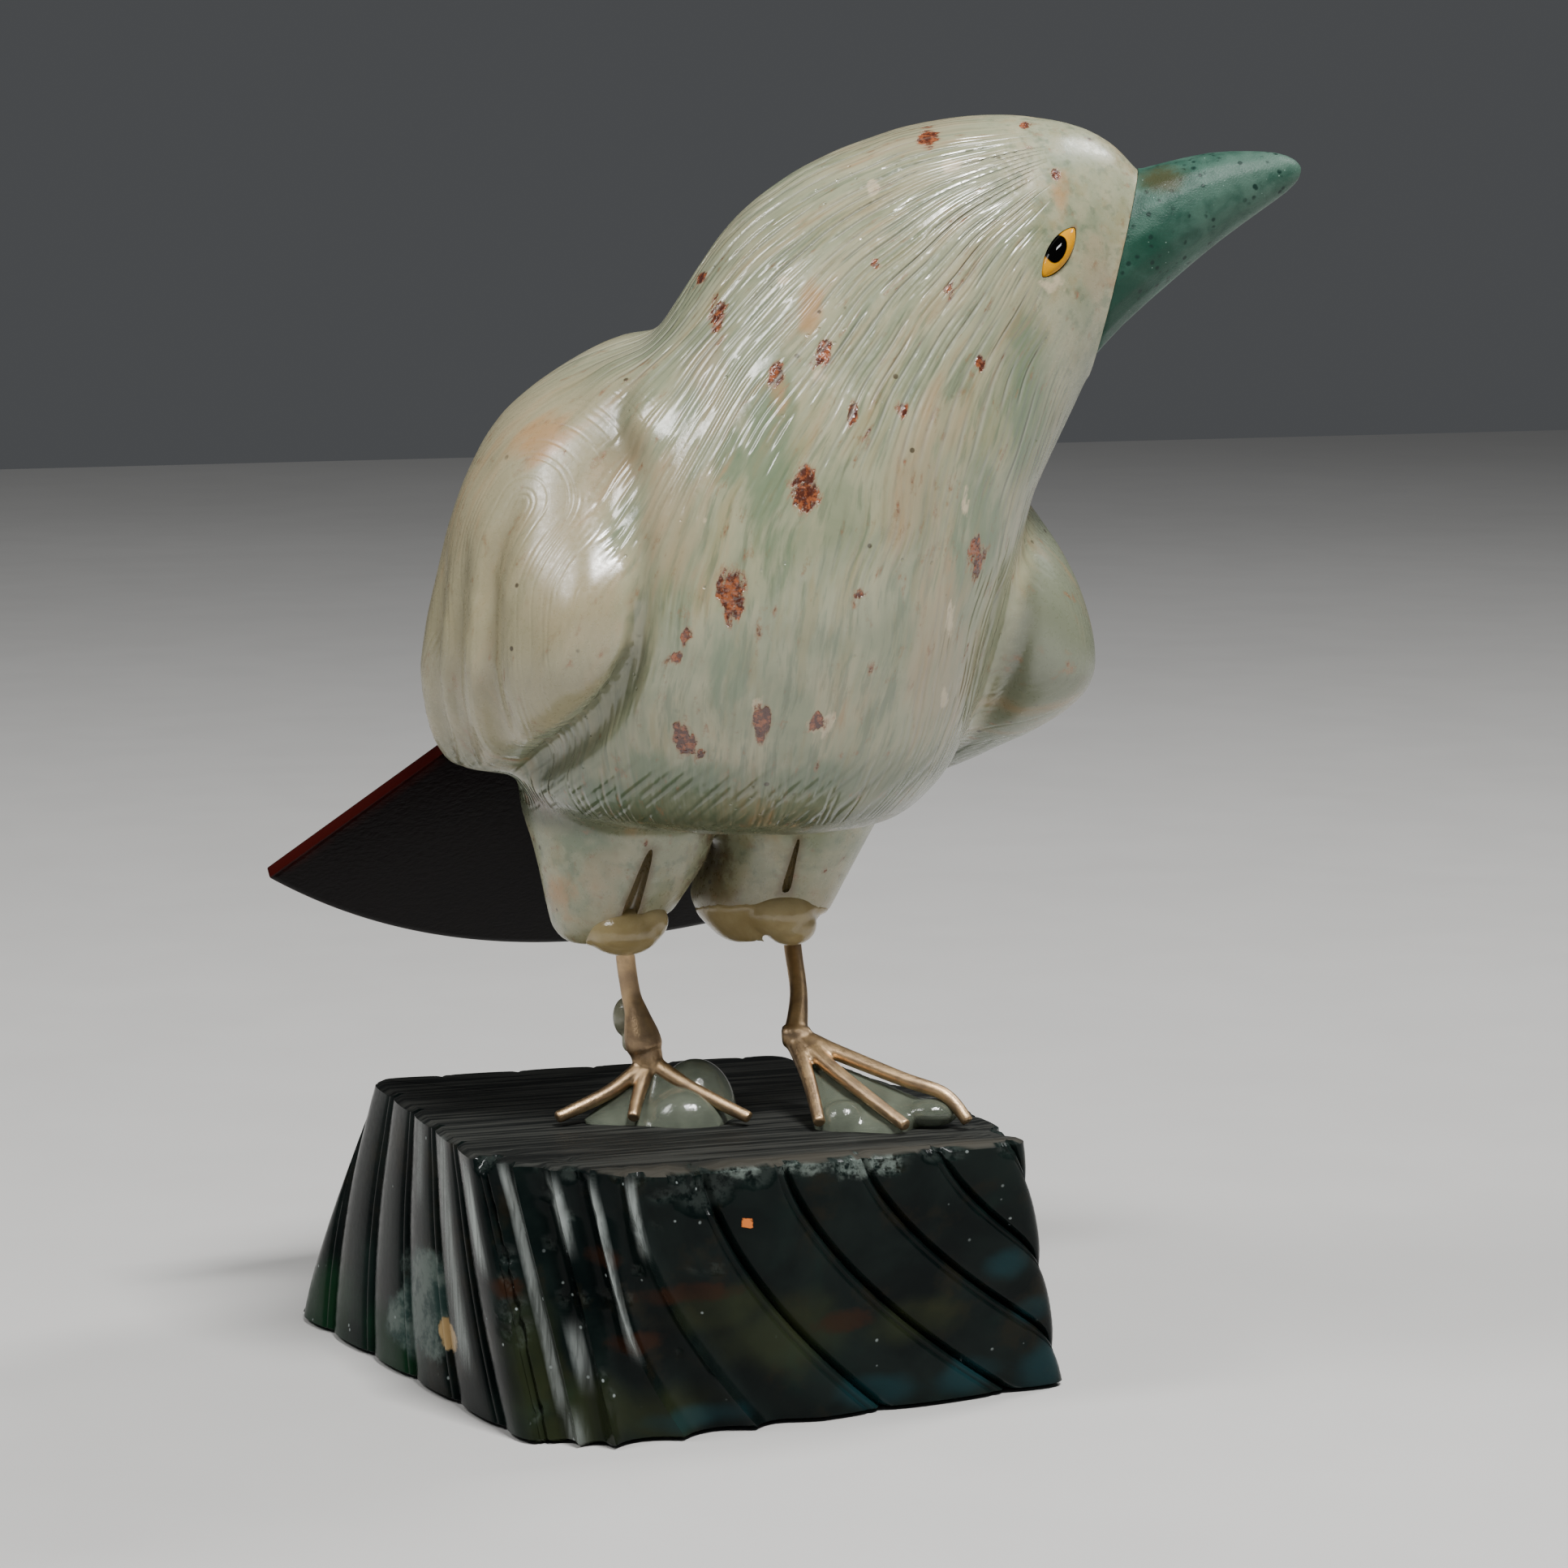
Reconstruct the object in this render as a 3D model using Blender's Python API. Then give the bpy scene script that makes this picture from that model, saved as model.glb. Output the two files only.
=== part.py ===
"""A songbird carved from pale green stone, standing on wire legs on a fluted block of dark stone.

Metres, +Z up. The origin is the middle of the block's underside, and the block's front faces -Y.
The bird is described in a frame of its own: x runs the way that it looks, y away from a person who
sees its head in profile, z up. Its chest is turned from there towards that person.
"""

import math

import bmesh
import bpy
import numpy as np
from mathutils import Vector
from mathutils.bvhtree import BVHTree
from mathutils.kdtree import KDTree

MM = 0.001
GAP = 0.3 * MM

# The block: its corners, from the left side round the front, at the top and at the flared foot, as
# drawn for a top that is 64 wide
BLOCK_HEIGHT = 32 * MM
BLOCK_WIDTH = 64 * MM
BLOCK_SCALE = BLOCK_WIDTH / 64
BLOCK_CORNERS = {
    "left_front": ((-33.5, -24), (-30, -30)),
    "front_left": ((-19, -38.5), (-21, -36.5)),
    "front_right": ((30, -36.5), (38.5, -28)),
    "right_side": ((30.5, -8), (40, -12)),
    "back_right": ((20.5, 23), (31, 32)),
    "back_left": ((-32.5, 25.5), (-40, 38)),
}
BLOCK_CORNER_ROUNDING = 5.5 * MM
BLOCK_EDGE_ROUNDING = 0.8 * MM
FLUTE_COUNT = 24
FLUTE_DEPTH = 2.0 * MM
FLUTE_RUN = {
    "left_front": 5,
    "front_left": 17,
    "front_right": 38,
    "right_side": 36,
    "back_right": 22,
    "back_left": 8,
}
FLUTE_STEPS = 5
BLOCK_LEVELS = 7

# Where the bird stands on the block, and how it is turned. All its figures below are drawn for a
# bird whose crown is 118 above the block's top, with that top at a height of 32.
BIRD_HEIGHT = 118 * MM
BIRD_SCALE = BIRD_HEIGHT / 118
DRAWN_TOP = 32
BIRD_PLACE = Vector((1.9 * BLOCK_SCALE, -4.9 * BLOCK_SCALE, BLOCK_HEIGHT))
LOOK_TURN = math.radians(-20)
CHEST_TURN = math.radians(30)

# Head and trunk: back or crown (x, z), breast or throat (x, z), half depth and middle y of each section
TRUNK_SECTIONS = [
    ((-17.5, 68.6), (20.0, 67.2), 19.5, -1.5),
    ((-21.5, 70.2), (23.5, 68.8), 22.8, -2.3),
    ((-24.3, 75.5), (28.6, 74.8), 25.8, -4.5),
    ((-25, 84.0), (31.6, 84.0), 27.5, -7.5),
    ((-24, 94.0), (34.0, 93.0), 28.0, -10.0),
    ((-20, 105.0), (36.0, 101.0), 27.0, -11.0),
    ((-13, 117.0), (37.2, 106.0), 25.0, -11.5),
    ((-6.0, 125.5), (38.4, 109.0), 23.5, -11.5),
    ((-2.5, 131.0), (39.8, 112.0), 22.0, -11.0),
    ((3.0, 138.5), (41.2, 114.8), 20.5, -10.5),
    ((10.8, 144.2), (42.3, 117.0), 19.0, -10.0),
    ((20.0, 148.0), (43.0, 118.7), 17.2, -10.0),
    ((28.5, 149.8), (43.5, 119.9), 15.4, -10.0),
    ((36.5, 149.9), (43.9, 120.8), 12.8, -10.0),
    ((42.5, 148.7), (44.2, 121.4), 10.2, -10.0),
    ((46.5, 146.6), (44.4, 121.7), 8.6, -10.0),
    ((49.1, 143.7), (44.1, 121.9), 7.6, -10.0),
    ((53.0, 141.5), (49.0, 123.5), 6.6, -10.0),
]
# The beak sits on the last section but one; the stone is sawn off there
BEAK_SEAT = TRUNK_SECTIONS[-2]
BEAK_SECTIONS = [
    ((52.6, 144.6), (47.6, 125.8), 7.0),
    ((57.3, 145.6), (53.6, 131.2), 5.6),
    ((61.5, 145.8), (58.6, 135.4), 4.3),
    ((65.0, 145.6), (63.2, 138.8), 3.0),
    ((67.2, 144.8), (66.2, 141.0), 1.8),
    ((68.0, 143.8), (67.6, 142.4), 0.8),
]

# Wings, on the chest's own axes: height, outward and forward place, half chord, half thickness
WING_SECTIONS = [
    (125, 8.0, 2.0, 4.0, 3.0),
    (122.5, 10.5, 3.0, 9.0, 7.0),
    (116, 17.5, 4.5, 13.0, 10.5),
    (107, 22.0, 5.5, 14.5, 12.0),
    (98, 25.5, 7.5, 18.5, 11.0),
    (88, 28.0, 6.0, 19.0, 9.5),
    (82, 28.0, 1.5, 16.0, 7.7),
    (77, 27.5, -5.0, 10.5, 5.0),
    (73.6, 27.0, -8.0, 5.0, 2.6),
]
# The left wing is held further out, forward and down, from its shoulder's height to full shift
LEFT_WING_SHIFT = (3.0, 6.0, -3.0)
LEFT_SHIFT_HEIGHTS = (88, 122)
# Grooves between the wing's front lobe and its long feathers: outward, forward, height
WING_GROOVES = [
    [(32.2, 13.6, 106.7), (35.6, 12.6, 99.0), (36.6, 13.4, 91.0), (35.3, 11.7, 83.8), (30.0, 3.4, 73.0)],
    [(35.8, 7.0, 102.0), (37.3, 6.4, 94.0), (37.3, 5.4, 87.0), (35.0, 1.8, 81.0), (30.0, -4.5, 73.0)],
    [(35.0, 0.0, 100.0), (36.6, -0.6, 90.0), (35.4, -3.2, 82.6), (30.5, -9.0, 74.0)],
]
# The groove between the right wing's lobe and the breast
BREAST_GROOVE = [(24.8, 24.8, 89.0), (26.0, 19.5, 82.6), (26.9, 11.3, 78.0), (26.3, 1.5, 74.0)]
GROOVE_HALF_WIDTH = 2.6 * MM
GROOVE_DEPTH = 1.9 * MM
# Between the wings the back is filled out: height, forward place, half width, half depth
BACK_SECTIONS = [
    (119.5, 1.5, 6.0, 4.0),
    (116.0, 0.5, 13.5, 9.5),
    (108.0, -1.5, 19.5, 13.0),
    (98.0, -2.5, 23.5, 14.5),
    (88.0, -3.5, 24.5, 14.0),
    (80.0, -4.5, 22.5, 12.0),
    (75.5, -5.0, 18.0, 9.0),
]
# The mantle fills the hollow between neck and shoulder: place and radii, outward, forward and up
MANTLE = ((13.5, 11.5, 112.0), (11.5, 15.0, 11.5))
# Where the hollow is rubbed smooth: its place on the chest's axes, its reach, and how often
SHOULDER_HOLLOW = (13.5, 15.0, 113.0)
HOLLOW_REACH = 15.0 * MM
HOLLOW_STEPS = 140
# The rump tapers over the tail's root: forward place, half width and half thickness of each section
RUMP_SECTIONS = [
    (-4.0, 17.0, 13.0),
    (-11.0, 16.0, 12.0),
    (-16.5, 13.7, 10.0),
    (-21.0, 11.3, 7.4),
    (-25.0, 8.6, 4.8),
    (-28.0, 5.6, 2.8),
    (-29.0, 2.6, 1.4),
]

# Thighs: height, middle x and y, half width and half depth of each section
THIGH_SECTIONS = {
    "right": [
        (75, -9.0, -1.0, 12.5, 12.5),
        (70, -11.0, -2.0, 12.2, 12.0),
        (66, -10.6, -3.2, 11.2, 10.8),
        (62, -10.7, -4.2, 10.0, 9.6),
        (58.5, -11.6, -5.0, 8.3, 8.2),
        (55, -12.4, -5.2, 6.9, 6.8),
        (52.8, -12.4, -5.2, 5.4, 5.4),
    ],
    "left": [
        (75, 9.5, 4.0, 11.5, 12.5),
        (70, 10.4, 4.5, 11.0, 12.0),
        (66, 9.9, 5.0, 9.9, 10.4),
        (62, 8.4, 5.0, 9.3, 9.2),
        (57, 5.9, 5.0, 9.2, 8.4),
        (54, 6.2, 5.0, 7.6, 7.4),
        (51.3, 6.8, 5.0, 5.6, 5.6),
    ],
}
THIGH_SLOTS = {
    "right": ((-6.4, -15.5, 66.0), (-9.6, -12.6, 57.5), 0.9),
    "left": ((11.0, -4.6, 66.0), (10.2, -2.6, 60.0), 0.7),
}

# Glass eyes, almond-shaped, on the sides of the head: their place is (x, z), and their upper end
# leans forward by the tilt
EYE_PLACE = (39.5, 134.6)
EYE_HALF_LENGTH = 3.6 * MM
EYE_HALF_WIDTH = 1.5 * MM
EYE_DOME = 1.5 * MM
EYE_SINK = 0.5 * MM
EYE_TILT = math.radians(43)

# Tail: a flat slab glued into a saw cut across the rump, sloping down behind and rolled a little
TAIL_THICKNESS = 1.6 * MM
TAIL_SLOPE = 0.9
TAIL_ROLL = -0.1
TAIL_LEVEL = 90.0
TAIL_ROOT = (21.5, -13.0)
TAIL_CORNER = (40.0, -40.0)
TAIL_END = -50.0
TAIL_STEPS = 14

# Legs: wire through the resin collar into the thigh, then three toes
LEG_RADIUS = 1.15 * MM
TOE_RADIUS = 0.8 * MM
LEG_IN_THIGH = 6 * MM
LEGS = {
    "right": {
        "wire": [(-9.7, -5.0, 53.5), (-9.4, -5.0, 50.5), (-8.4, -5.5, 44.7), (-7.4, -6.0, 38.5)],
        "knot": ((-7.5, -6.0, 39.6), (2.2, 1.9, 4.0)),
        "toes": [
            [(-7.4, -6.0, 38.0), (-12.0, -9.0, 35.6), (-18.2, -12.3, 33.1)],
            [(-7.4, -6.0, 38.0), (-8.6, -9.4, 35.4), (-9.2, -12.5, 33.1)],
            [(-7.4, -6.0, 38.0), (-2.4, -9.0, 36.0), (4.5, -12.3, 33.1)],
        ],
    },
    "left": {
        "wire": [(9.6, 5.0, 53.5), (9.6, 4.6, 50.5), (10.3, 1.0, 45.5), (9.9, -3.0, 41.0)],
        "knot": ((9.6, -3.0, 40.9), (2.5, 1.8, 1.4)),
        "toes": [
            [(9.6, -3.0, 40.6), (11.4, -9.0, 37.2), (12.7, -15.3, 33.1)],
            [(10.2, -3.2, 40.6), (15.6, -10.0, 37.4), (22.8, -17.0, 33.1)],
            [(10.8, -3.2, 40.6), (22.0, -10.5, 37.6), (27.4, -12.8, 36.0), (30.1, -14.6, 33.1)],
        ],
    },
}

# Resin: collars round the wires at the thighs, a drop behind the right ankle, pools under the feet,
# each a place and radii along the bird's own axes
COLLARS = {
    "right": ((-9.3, -6.2, 54.2), (4.6, 4.6, 2.6)),
    "left": ((8.4, 3.6, 53.2), (5.2, 5.2, 2.4)),
}
ANKLE_DROP = ((-10.6, -2.8, 43.4), (1.6, 1.7, 2.3))
FOOT_POOLS = {
    "right": [((-5.4, -8.6, 31.0), (9.8, 4.6, 5.8)), ((0.4, -7.4, 31.0), (4.8, 4.4, 6.4))],
    "left": [
        ((18.0, -10.8, 31.0), (8.6, 5.2, 5.4)),
        ((26.2, -12.0, 33.6), (3.2, 2.6, 2.0)),
        ((13.6, -7.6, 34.6), (3.2, 3.4, 4.4)),
    ],
}

# Faceting of the carving
TRUNK_SIDES = 48
VOXEL = 0.65 * MM
POLISH_STEPS = 8
BODY_TRIANGLES = 2560

STONE = (0.52, 0.55, 0.43)
BEAK_STONE = (0.10, 0.26, 0.20)
DARK_STONE = (0.012, 0.018, 0.017)
TAIL_STONE = (0.012, 0.006, 0.006)
GILT_WIRE = (0.55, 0.33, 0.13)
AMBER_GLASS = (0.72, 0.40, 0.02)
COLLAR_RESIN = (0.58, 0.47, 0.25)
POOL_RESIN = (0.20, 0.25, 0.20)


def clear_scene():
    for obj in list(bpy.data.objects):
        bpy.data.objects.remove(obj, do_unlink=True)


def material(name, colour, roughness, metallic=0.0, alpha=1.0):
    mat = bpy.data.materials.new(name)
    mat.use_nodes = True
    shader = mat.node_tree.nodes["Principled BSDF"]
    shader.inputs["Base Color"].default_value = (*colour, 1)
    shader.inputs["Roughness"].default_value = roughness
    shader.inputs["Metallic"].default_value = metallic
    shader.inputs["Alpha"].default_value = alpha
    return mat


def bird_point(x, y, z):
    """A place in the bird's own frame, as drawn, as a world position."""
    turned = Vector((
        math.cos(LOOK_TURN) * x - math.sin(LOOK_TURN) * y,
        math.sin(LOOK_TURN) * x + math.cos(LOOK_TURN) * y,
        z - DRAWN_TOP,
    ))
    return BIRD_PLACE + turned * BIRD_SCALE


def bird_direction(x, y, z):
    return bird_point(x, y, z) - bird_point(0, 0, 0)


def chest_point(left, forward, z):
    """A place on the chest's axes, as drawn: to the bird's left, forward, up."""
    x = math.cos(CHEST_TURN) * left + math.sin(CHEST_TURN) * forward
    y = math.sin(CHEST_TURN) * left - math.cos(CHEST_TURN) * forward
    return bird_point(x, y, z)


def new_object(name, mesh, mat=None):
    obj = bpy.data.objects.new(name, mesh)
    bpy.context.scene.collection.objects.link(obj)
    if mat:
        mesh.materials.append(mat)
    return obj


def mesh_of(name, points, faces):
    mesh = bpy.data.meshes.new(name)
    mesh.from_pydata([tuple(p) for p in points], [], faces)
    bm = bmesh.new()
    bm.from_mesh(mesh)
    bmesh.ops.triangulate(bm, faces=bm.faces, quad_method="SHORT_EDGE")
    bmesh.ops.recalc_face_normals(bm, faces=bm.faces)
    bm.to_mesh(mesh)
    bm.free()
    return mesh


def loft(rings):
    """Points and faces of a closed skin over rings of equal count, with a flat cap at each end."""
    sides = len(rings[0])
    points = [p for ring in rings for p in ring]
    faces = []
    for level in range(len(rings) - 1):
        for side in range(sides):
            nxt = (side + 1) % sides
            low, high = level * sides, (level + 1) * sides
            faces.append((low + side, low + nxt, high + nxt, high + side))
    faces.append(tuple(range(sides)))
    faces.append(tuple((len(rings) - 1) * sides + side for side in range(sides)))
    return points, faces


def eased(sections, steps):
    """Rows of numbers with a smooth curve run through them, steps to each stretch."""
    rows = np.array(sections, float)
    last = len(rows) - 1
    out = []
    for i in range(last):
        before, here, there, after = (rows[min(max(k, 0), last)] for k in (i - 1, i, i + 1, i + 2))
        for step in range(steps):
            t = step / steps
            out.append(
                0.5 * (
                    2 * here
                    + (there - before) * t
                    + (2 * before - 5 * here + 4 * there - after) * t ** 2
                    + (3 * here - before - 3 * there + after) * t ** 3
                )
            )
    out.append(rows[last])
    return out


def ellipse_ring(centre, first, second, sides):
    turns = [2 * math.pi * side / sides for side in range(sides)]
    return [centre + first * math.cos(a) + second * math.sin(a) for a in turns]


def profile_ring(back, front, depth, middle, sides):
    """An ellipse from a point of the back's outline to one of the breast's, both (x, z)."""
    top = bird_point(back[0], middle, back[1])
    bottom = bird_point(front[0], middle, front[1])
    return ellipse_ring((top + bottom) / 2, (top - bottom) / 2, bird_direction(0, depth, 0), sides)


def trunk_ring(row):
    back_x, back_z, front_x, front_z, depth, middle = row
    return profile_ring((back_x, back_z), (front_x, front_z), depth, middle, TRUNK_SIDES)


def trunk():
    rows = [(*back, *front, depth, middle) for back, front, depth, middle in TRUNK_SECTIONS]
    return loft([trunk_ring(row) for row in eased(rows, 3)])


def wing_point(side, out, ahead, up):
    """A place on one side of the chest, side 1 being the left, moved with the wing of that side."""
    share = np.interp(up, LEFT_SHIFT_HEIGHTS, (1, 0)) if side > 0 else 0
    further, forward, lower = (share * step for step in LEFT_WING_SHIFT)
    return chest_point(side * (out + further), ahead + forward, up + lower)


def wing_ring(side, up, out, ahead, half_chord, half_thick, sides):
    """A level ellipse of the wing or the shoulder."""
    centre = wing_point(side, out, ahead, up)
    along = wing_point(side, out, ahead + half_chord, up) - centre
    across = wing_point(side, out + half_thick, ahead, up) - centre
    return ellipse_ring(centre, along, across, sides)


def wing(side):
    return loft([wing_ring(side, *row, 32) for row in eased(WING_SECTIONS, 3)])


def mantle(side):
    """The shoulder's slope from the neck to the wing."""
    (out, ahead, up), (wide, deep, high) = MANTLE
    rings = []
    for step in range(1, 12):
        turn = math.pi * step / 12
        chord, thick = deep * math.sin(turn), wide * math.sin(turn)
        rings.append(wing_ring(side, up + high * math.cos(turn), out, ahead, chord, thick, 24))
    return loft(rings)


def back():
    """The back between the folded wings."""
    rings = []
    for up, forward, half_width, half_depth in eased(BACK_SECTIONS, 2):
        centre = chest_point(0, forward, up)
        across = chest_point(half_width, forward, up) - centre
        rings.append(ellipse_ring(centre, across, chest_point(0, forward + half_depth, up) - centre, 32))
    return loft(rings)


def tail_point(left, forward, lift):
    """A place on the tail slab's middle plane, lifted along its normal by a length in metres."""
    def on_plane(a, b):
        return chest_point(a, b, TAIL_LEVEL + TAIL_SLOPE * b + TAIL_ROLL * a)

    here = on_plane(left, forward)
    normal = (on_plane(left + 1, forward) - here).cross(on_plane(left, forward + 1) - here).normalized()
    return here + normal * lift


def rump():
    """The body's end, tapering along the tail's plane."""
    rings = []
    for forward, half_width, half_thick in eased(RUMP_SECTIONS, 2):
        centre = tail_point(0, forward, 0)
        across = tail_point(half_width, forward, 0) - centre
        rings.append(ellipse_ring(centre, across, tail_point(0, forward, half_thick * BIRD_SCALE) - centre, 24))
    return loft(rings)


def thigh(side):
    rings = []
    for height, x, y, wide, deep in eased(THIGH_SECTIONS[side], 2):
        centre = bird_point(x, y, height)
        rings.append(ellipse_ring(centre, bird_direction(wide, 0, 0), bird_direction(0, deep, 0), 24))
    return loft(rings)


def ellipsoid(centre, radii, grow=0.0, segments=14, rings=8):
    """A closed ball squashed along the bird's own axes, as drawn, with its skin moved out by grow."""
    bm = bmesh.new()
    bmesh.ops.create_uvsphere(bm, u_segments=segments, v_segments=rings, radius=1)
    middle = bird_point(*centre)
    axes = [bird_direction(*(r if k == i else 0 for k in range(3))) for i, r in enumerate(radii)]
    for vert in bm.verts:
        place = middle.copy()
        for share, axis in zip(vert.co, axes):
            place += share * (axis + axis.normalized() * grow)
        vert.co = place
    mesh = bpy.data.meshes.new("ball")
    bm.to_mesh(mesh)
    bm.free()
    return mesh


def tube(path, radius, sides=8):
    """A closed tube along world points, its ends square to the path."""
    rings = []
    for i, point in enumerate(path):
        ahead = (path[min(i + 1, len(path) - 1)] - path[max(i - 1, 0)]).normalized()
        across = ahead.cross(Vector((0.31, 0.95, 0.05))).normalized()
        rings.append(ellipse_ring(point, across * radius, ahead.cross(across) * radius, sides))
    return mesh_of("tube", *loft(rings))


def joined(name, pieces):
    """One mesh of several closed skins that overlap."""
    bm = bmesh.new()
    for points, faces in pieces:
        bm.from_mesh(mesh_of("skin", points, faces))
    mesh = bpy.data.meshes.new(name)
    bm.to_mesh(mesh)
    bm.free()
    return mesh


def evaluated_mesh(obj):
    graph = bpy.context.evaluated_depsgraph_get()
    return bpy.data.meshes.new_from_object(obj.evaluated_get(graph))


def cutter(name, mesh):
    obj = new_object(name, mesh)
    obj.hide_render = True
    obj.display_type = "WIRE"
    return obj


def boolean(obj, other, operation="DIFFERENCE"):
    step = obj.modifiers.new(other.name, "BOOLEAN")
    step.operation = operation
    step.object = other
    step.solver = "EXACT"


def rub_hollows(skin):
    """Smooths the two hollows between neck and shoulders, fading out to each one's reach."""
    group = skin.vertex_groups.new(name="hollow")
    out, ahead, up = SHOULDER_HOLLOW
    hollows = [chest_point(side * out, ahead, up) for side in (-1, 1)]
    for vert in skin.data.vertices:
        nearest = min((vert.co - hollow).length for hollow in hollows)
        weight = 1 - nearest / HOLLOW_REACH
        if weight > 0:
            group.add([vert.index], min(1.0, 1.6 * weight), "REPLACE")
    rub = skin.modifiers.new("rub", "SMOOTH")
    rub.factor = 0.5
    rub.iterations = HOLLOW_STEPS
    rub.vertex_group = group.name


def carve_grooves(skin):
    """Presses the wings' grooves into the skin, each fading in and out at its ends."""
    tree = KDTree(len(skin.vertices))
    for vert in skin.vertices:
        tree.insert(vert.co, vert.index)
    tree.balance()
    grooves = [(side, groove) for side in (-1, 1) for groove in WING_GROOVES]
    depths = {}
    for side, groove in [*grooves, (-1, BREAST_GROOVE)]:
        path = [wing_point(side, *place) for place in eased(groove, 16)]
        for i, place in enumerate(path):
            full = GROOVE_DEPTH * min(1, 4 * i / len(path), 6 * (len(path) - 1 - i) / len(path))
            for _, index, apart in tree.find_range(place, GROOVE_HALF_WIDTH):
                depth = full * (1 - (apart / GROOVE_HALF_WIDTH) ** 2) ** 1.5
                depths[index] = max(depth, depths.get(index, 0))
    inward = {index: -skin.vertices[index].normal for index in depths}
    for index, depth in depths.items():
        skin.vertices[index].co += inward[index] * depth


def carved_body():
    """Trunk, wings and thighs as one skin, smoothed like polished stone and faceted evenly."""
    pieces = [trunk(), back(), rump(), thigh("right"), thigh("left")]
    pieces += [shape(side) for side in (-1, 1) for shape in (wing, mantle)]
    rough = new_object("rough_body", joined("rough_body", pieces))
    remesh = rough.modifiers.new("one skin", "REMESH")
    remesh.mode = "VOXEL"
    remesh.voxel_size = VOXEL
    skin = evaluated_mesh(rough)
    bpy.data.objects.remove(rough, do_unlink=True)
    carve_grooves(skin)
    skin.calc_loop_triangles()
    share = BODY_TRIANGLES / len(skin.loop_triangles)
    dense = new_object("dense_body", skin)
    polish = dense.modifiers.new("polish", "SMOOTH")
    polish.factor = 0.5
    polish.iterations = POLISH_STEPS
    rub_hollows(dense)
    facets = dense.modifiers.new("facets", "DECIMATE")
    facets.ratio = share
    mesh = evaluated_mesh(dense)
    bpy.data.objects.remove(dense, do_unlink=True)
    return mesh


def half_space(row, side, offset):
    """A box that fills everything on one side of a section's plane, side 1 being the beak's side."""
    back_x, back_z, front_x, front_z, _, middle = row
    top = bird_point(back_x, middle, back_z)
    bottom = bird_point(front_x, middle, front_z)
    up = (top - bottom).normalized()
    across = bird_direction(0, 1, 0).normalized()
    out = across.cross(up).normalized()
    if out.dot(bird_direction(1, 0, 0)) < 0:
        out = -out
    centre = (top + bottom) / 2 + out * offset
    size = BIRD_HEIGHT / 4
    near = [centre + up * size * a + across * size * b for a, b in ((-1, -1), (1, -1), (1, 1), (-1, 1))]
    far = [p + out * side * size for p in near]
    return mesh_of("half", *loft([near, far]))


def seat_row():
    back, front, depth, middle = BEAK_SEAT
    return (*back, *front, depth, middle)


def tail_slab(grow=0.0):
    """The fan, with its outline and its faces moved out by grow."""
    wide = grow / BIRD_SCALE
    root_half, root = TAIL_ROOT
    corner_half, corner = TAIL_CORNER
    root += wide
    outline = [(-(root_half + wide), root)]
    for step in range(TAIL_STEPS + 1):
        share = 2 * step / TAIL_STEPS - 1
        bow = (TAIL_END - corner) * (1 - share ** 2)
        outline.append(((corner_half + wide) * share, corner - wide + bow))
    outline.append((root_half + wide, root))
    half = TAIL_THICKNESS / 2 + grow
    return loft([[tail_point(*p, lift) for p in outline] for lift in (-half, half)])


def eye_seat(surface, side):
    """The point and the outward normal of the head's skin where an eye sits, side -1 the viewer's."""
    x, z = EYE_PLACE
    middle = BEAK_SEAT[3]
    start = bird_point(x, middle + side * 40, z)
    place, normal, _, _ = surface.ray_cast(start, bird_direction(0, -side, 0).normalized())
    return place, normal


def eye_mesh(place, normal, grow=0.0):
    """A lens of glass with a lean, let a little into the head."""
    lean = bird_direction(math.sin(EYE_TILT), 0, math.cos(EYE_TILT))
    along = (lean - lean.dot(normal) * normal).normalized()
    across = normal.cross(along)
    axes = [
        along * (EYE_HALF_LENGTH + grow),
        across * (EYE_HALF_WIDTH + grow),
        normal * (EYE_DOME + grow),
    ]
    bm = bmesh.new()
    bmesh.ops.create_uvsphere(bm, u_segments=16, v_segments=7, radius=1)
    for vert in bm.verts:
        shares = vert.co.copy()
        vert.co = place - normal * EYE_SINK
        for share, axis in zip(shares, axes):
            vert.co += share * axis
    mesh = bpy.data.meshes.new("lens")
    bm.to_mesh(mesh)
    bm.free()
    return mesh


def leg_path(side):
    """The wire from inside the thigh down to the knot, as world points."""
    path = [bird_point(*p) for p in LEGS[side]["wire"]]
    up = (path[0] - path[1]).normalized()
    return [path[0] + up * LEG_IN_THIGH] + path


def slot_mesh(side):
    """A narrow slot ground into the front of a thigh."""
    top, bottom, half_width = THIGH_SLOTS[side]
    rings = []
    for step in range(7):
        t = step / 6
        place = bird_point(*Vector(top).lerp(Vector(bottom), t))
        swell = 0.35 + 0.65 * t
        rings.append(ellipse_ring(
            place,
            bird_direction(half_width * swell, 0, 0),
            bird_direction(0, 3.2, 0),
            12,
        ))
    return mesh_of("slot", *loft(rings))


def make_body():
    mesh = carved_body()
    surface = BVHTree.FromPolygons(
        [v.co.copy() for v in mesh.vertices], [tuple(p.vertices) for p in mesh.polygons]
    )
    body = new_object("bird_body", mesh, material("sage_stone", STONE, 0.25))
    boolean(body, cutter("cut_beak_seat", half_space(seat_row(), 1, 0)))
    boolean(body, cutter("cut_tail_slot", mesh_of("slot", *tail_slab(GAP))))
    for name, side in (("right", -1), ("left", 1)):
        place, normal = eye_seat(surface, side)
        boolean(body, cutter("cut_eye_" + name, eye_mesh(place, normal, GAP)))
        new_object("eye_" + name, eye_mesh(place, normal), material("amber_glass", AMBER_GLASS, 0.05))
        centre, radii = COLLARS[name]
        boolean(body, cutter("cut_collar_" + name, ellipsoid(centre, radii, GAP)))
        boolean(body, cutter("cut_wire_" + name, tube(leg_path(name)[:3], LEG_RADIUS + GAP, 10)))
        boolean(body, cutter("cut_slot_" + name, slot_mesh(name)))
    return body


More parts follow.
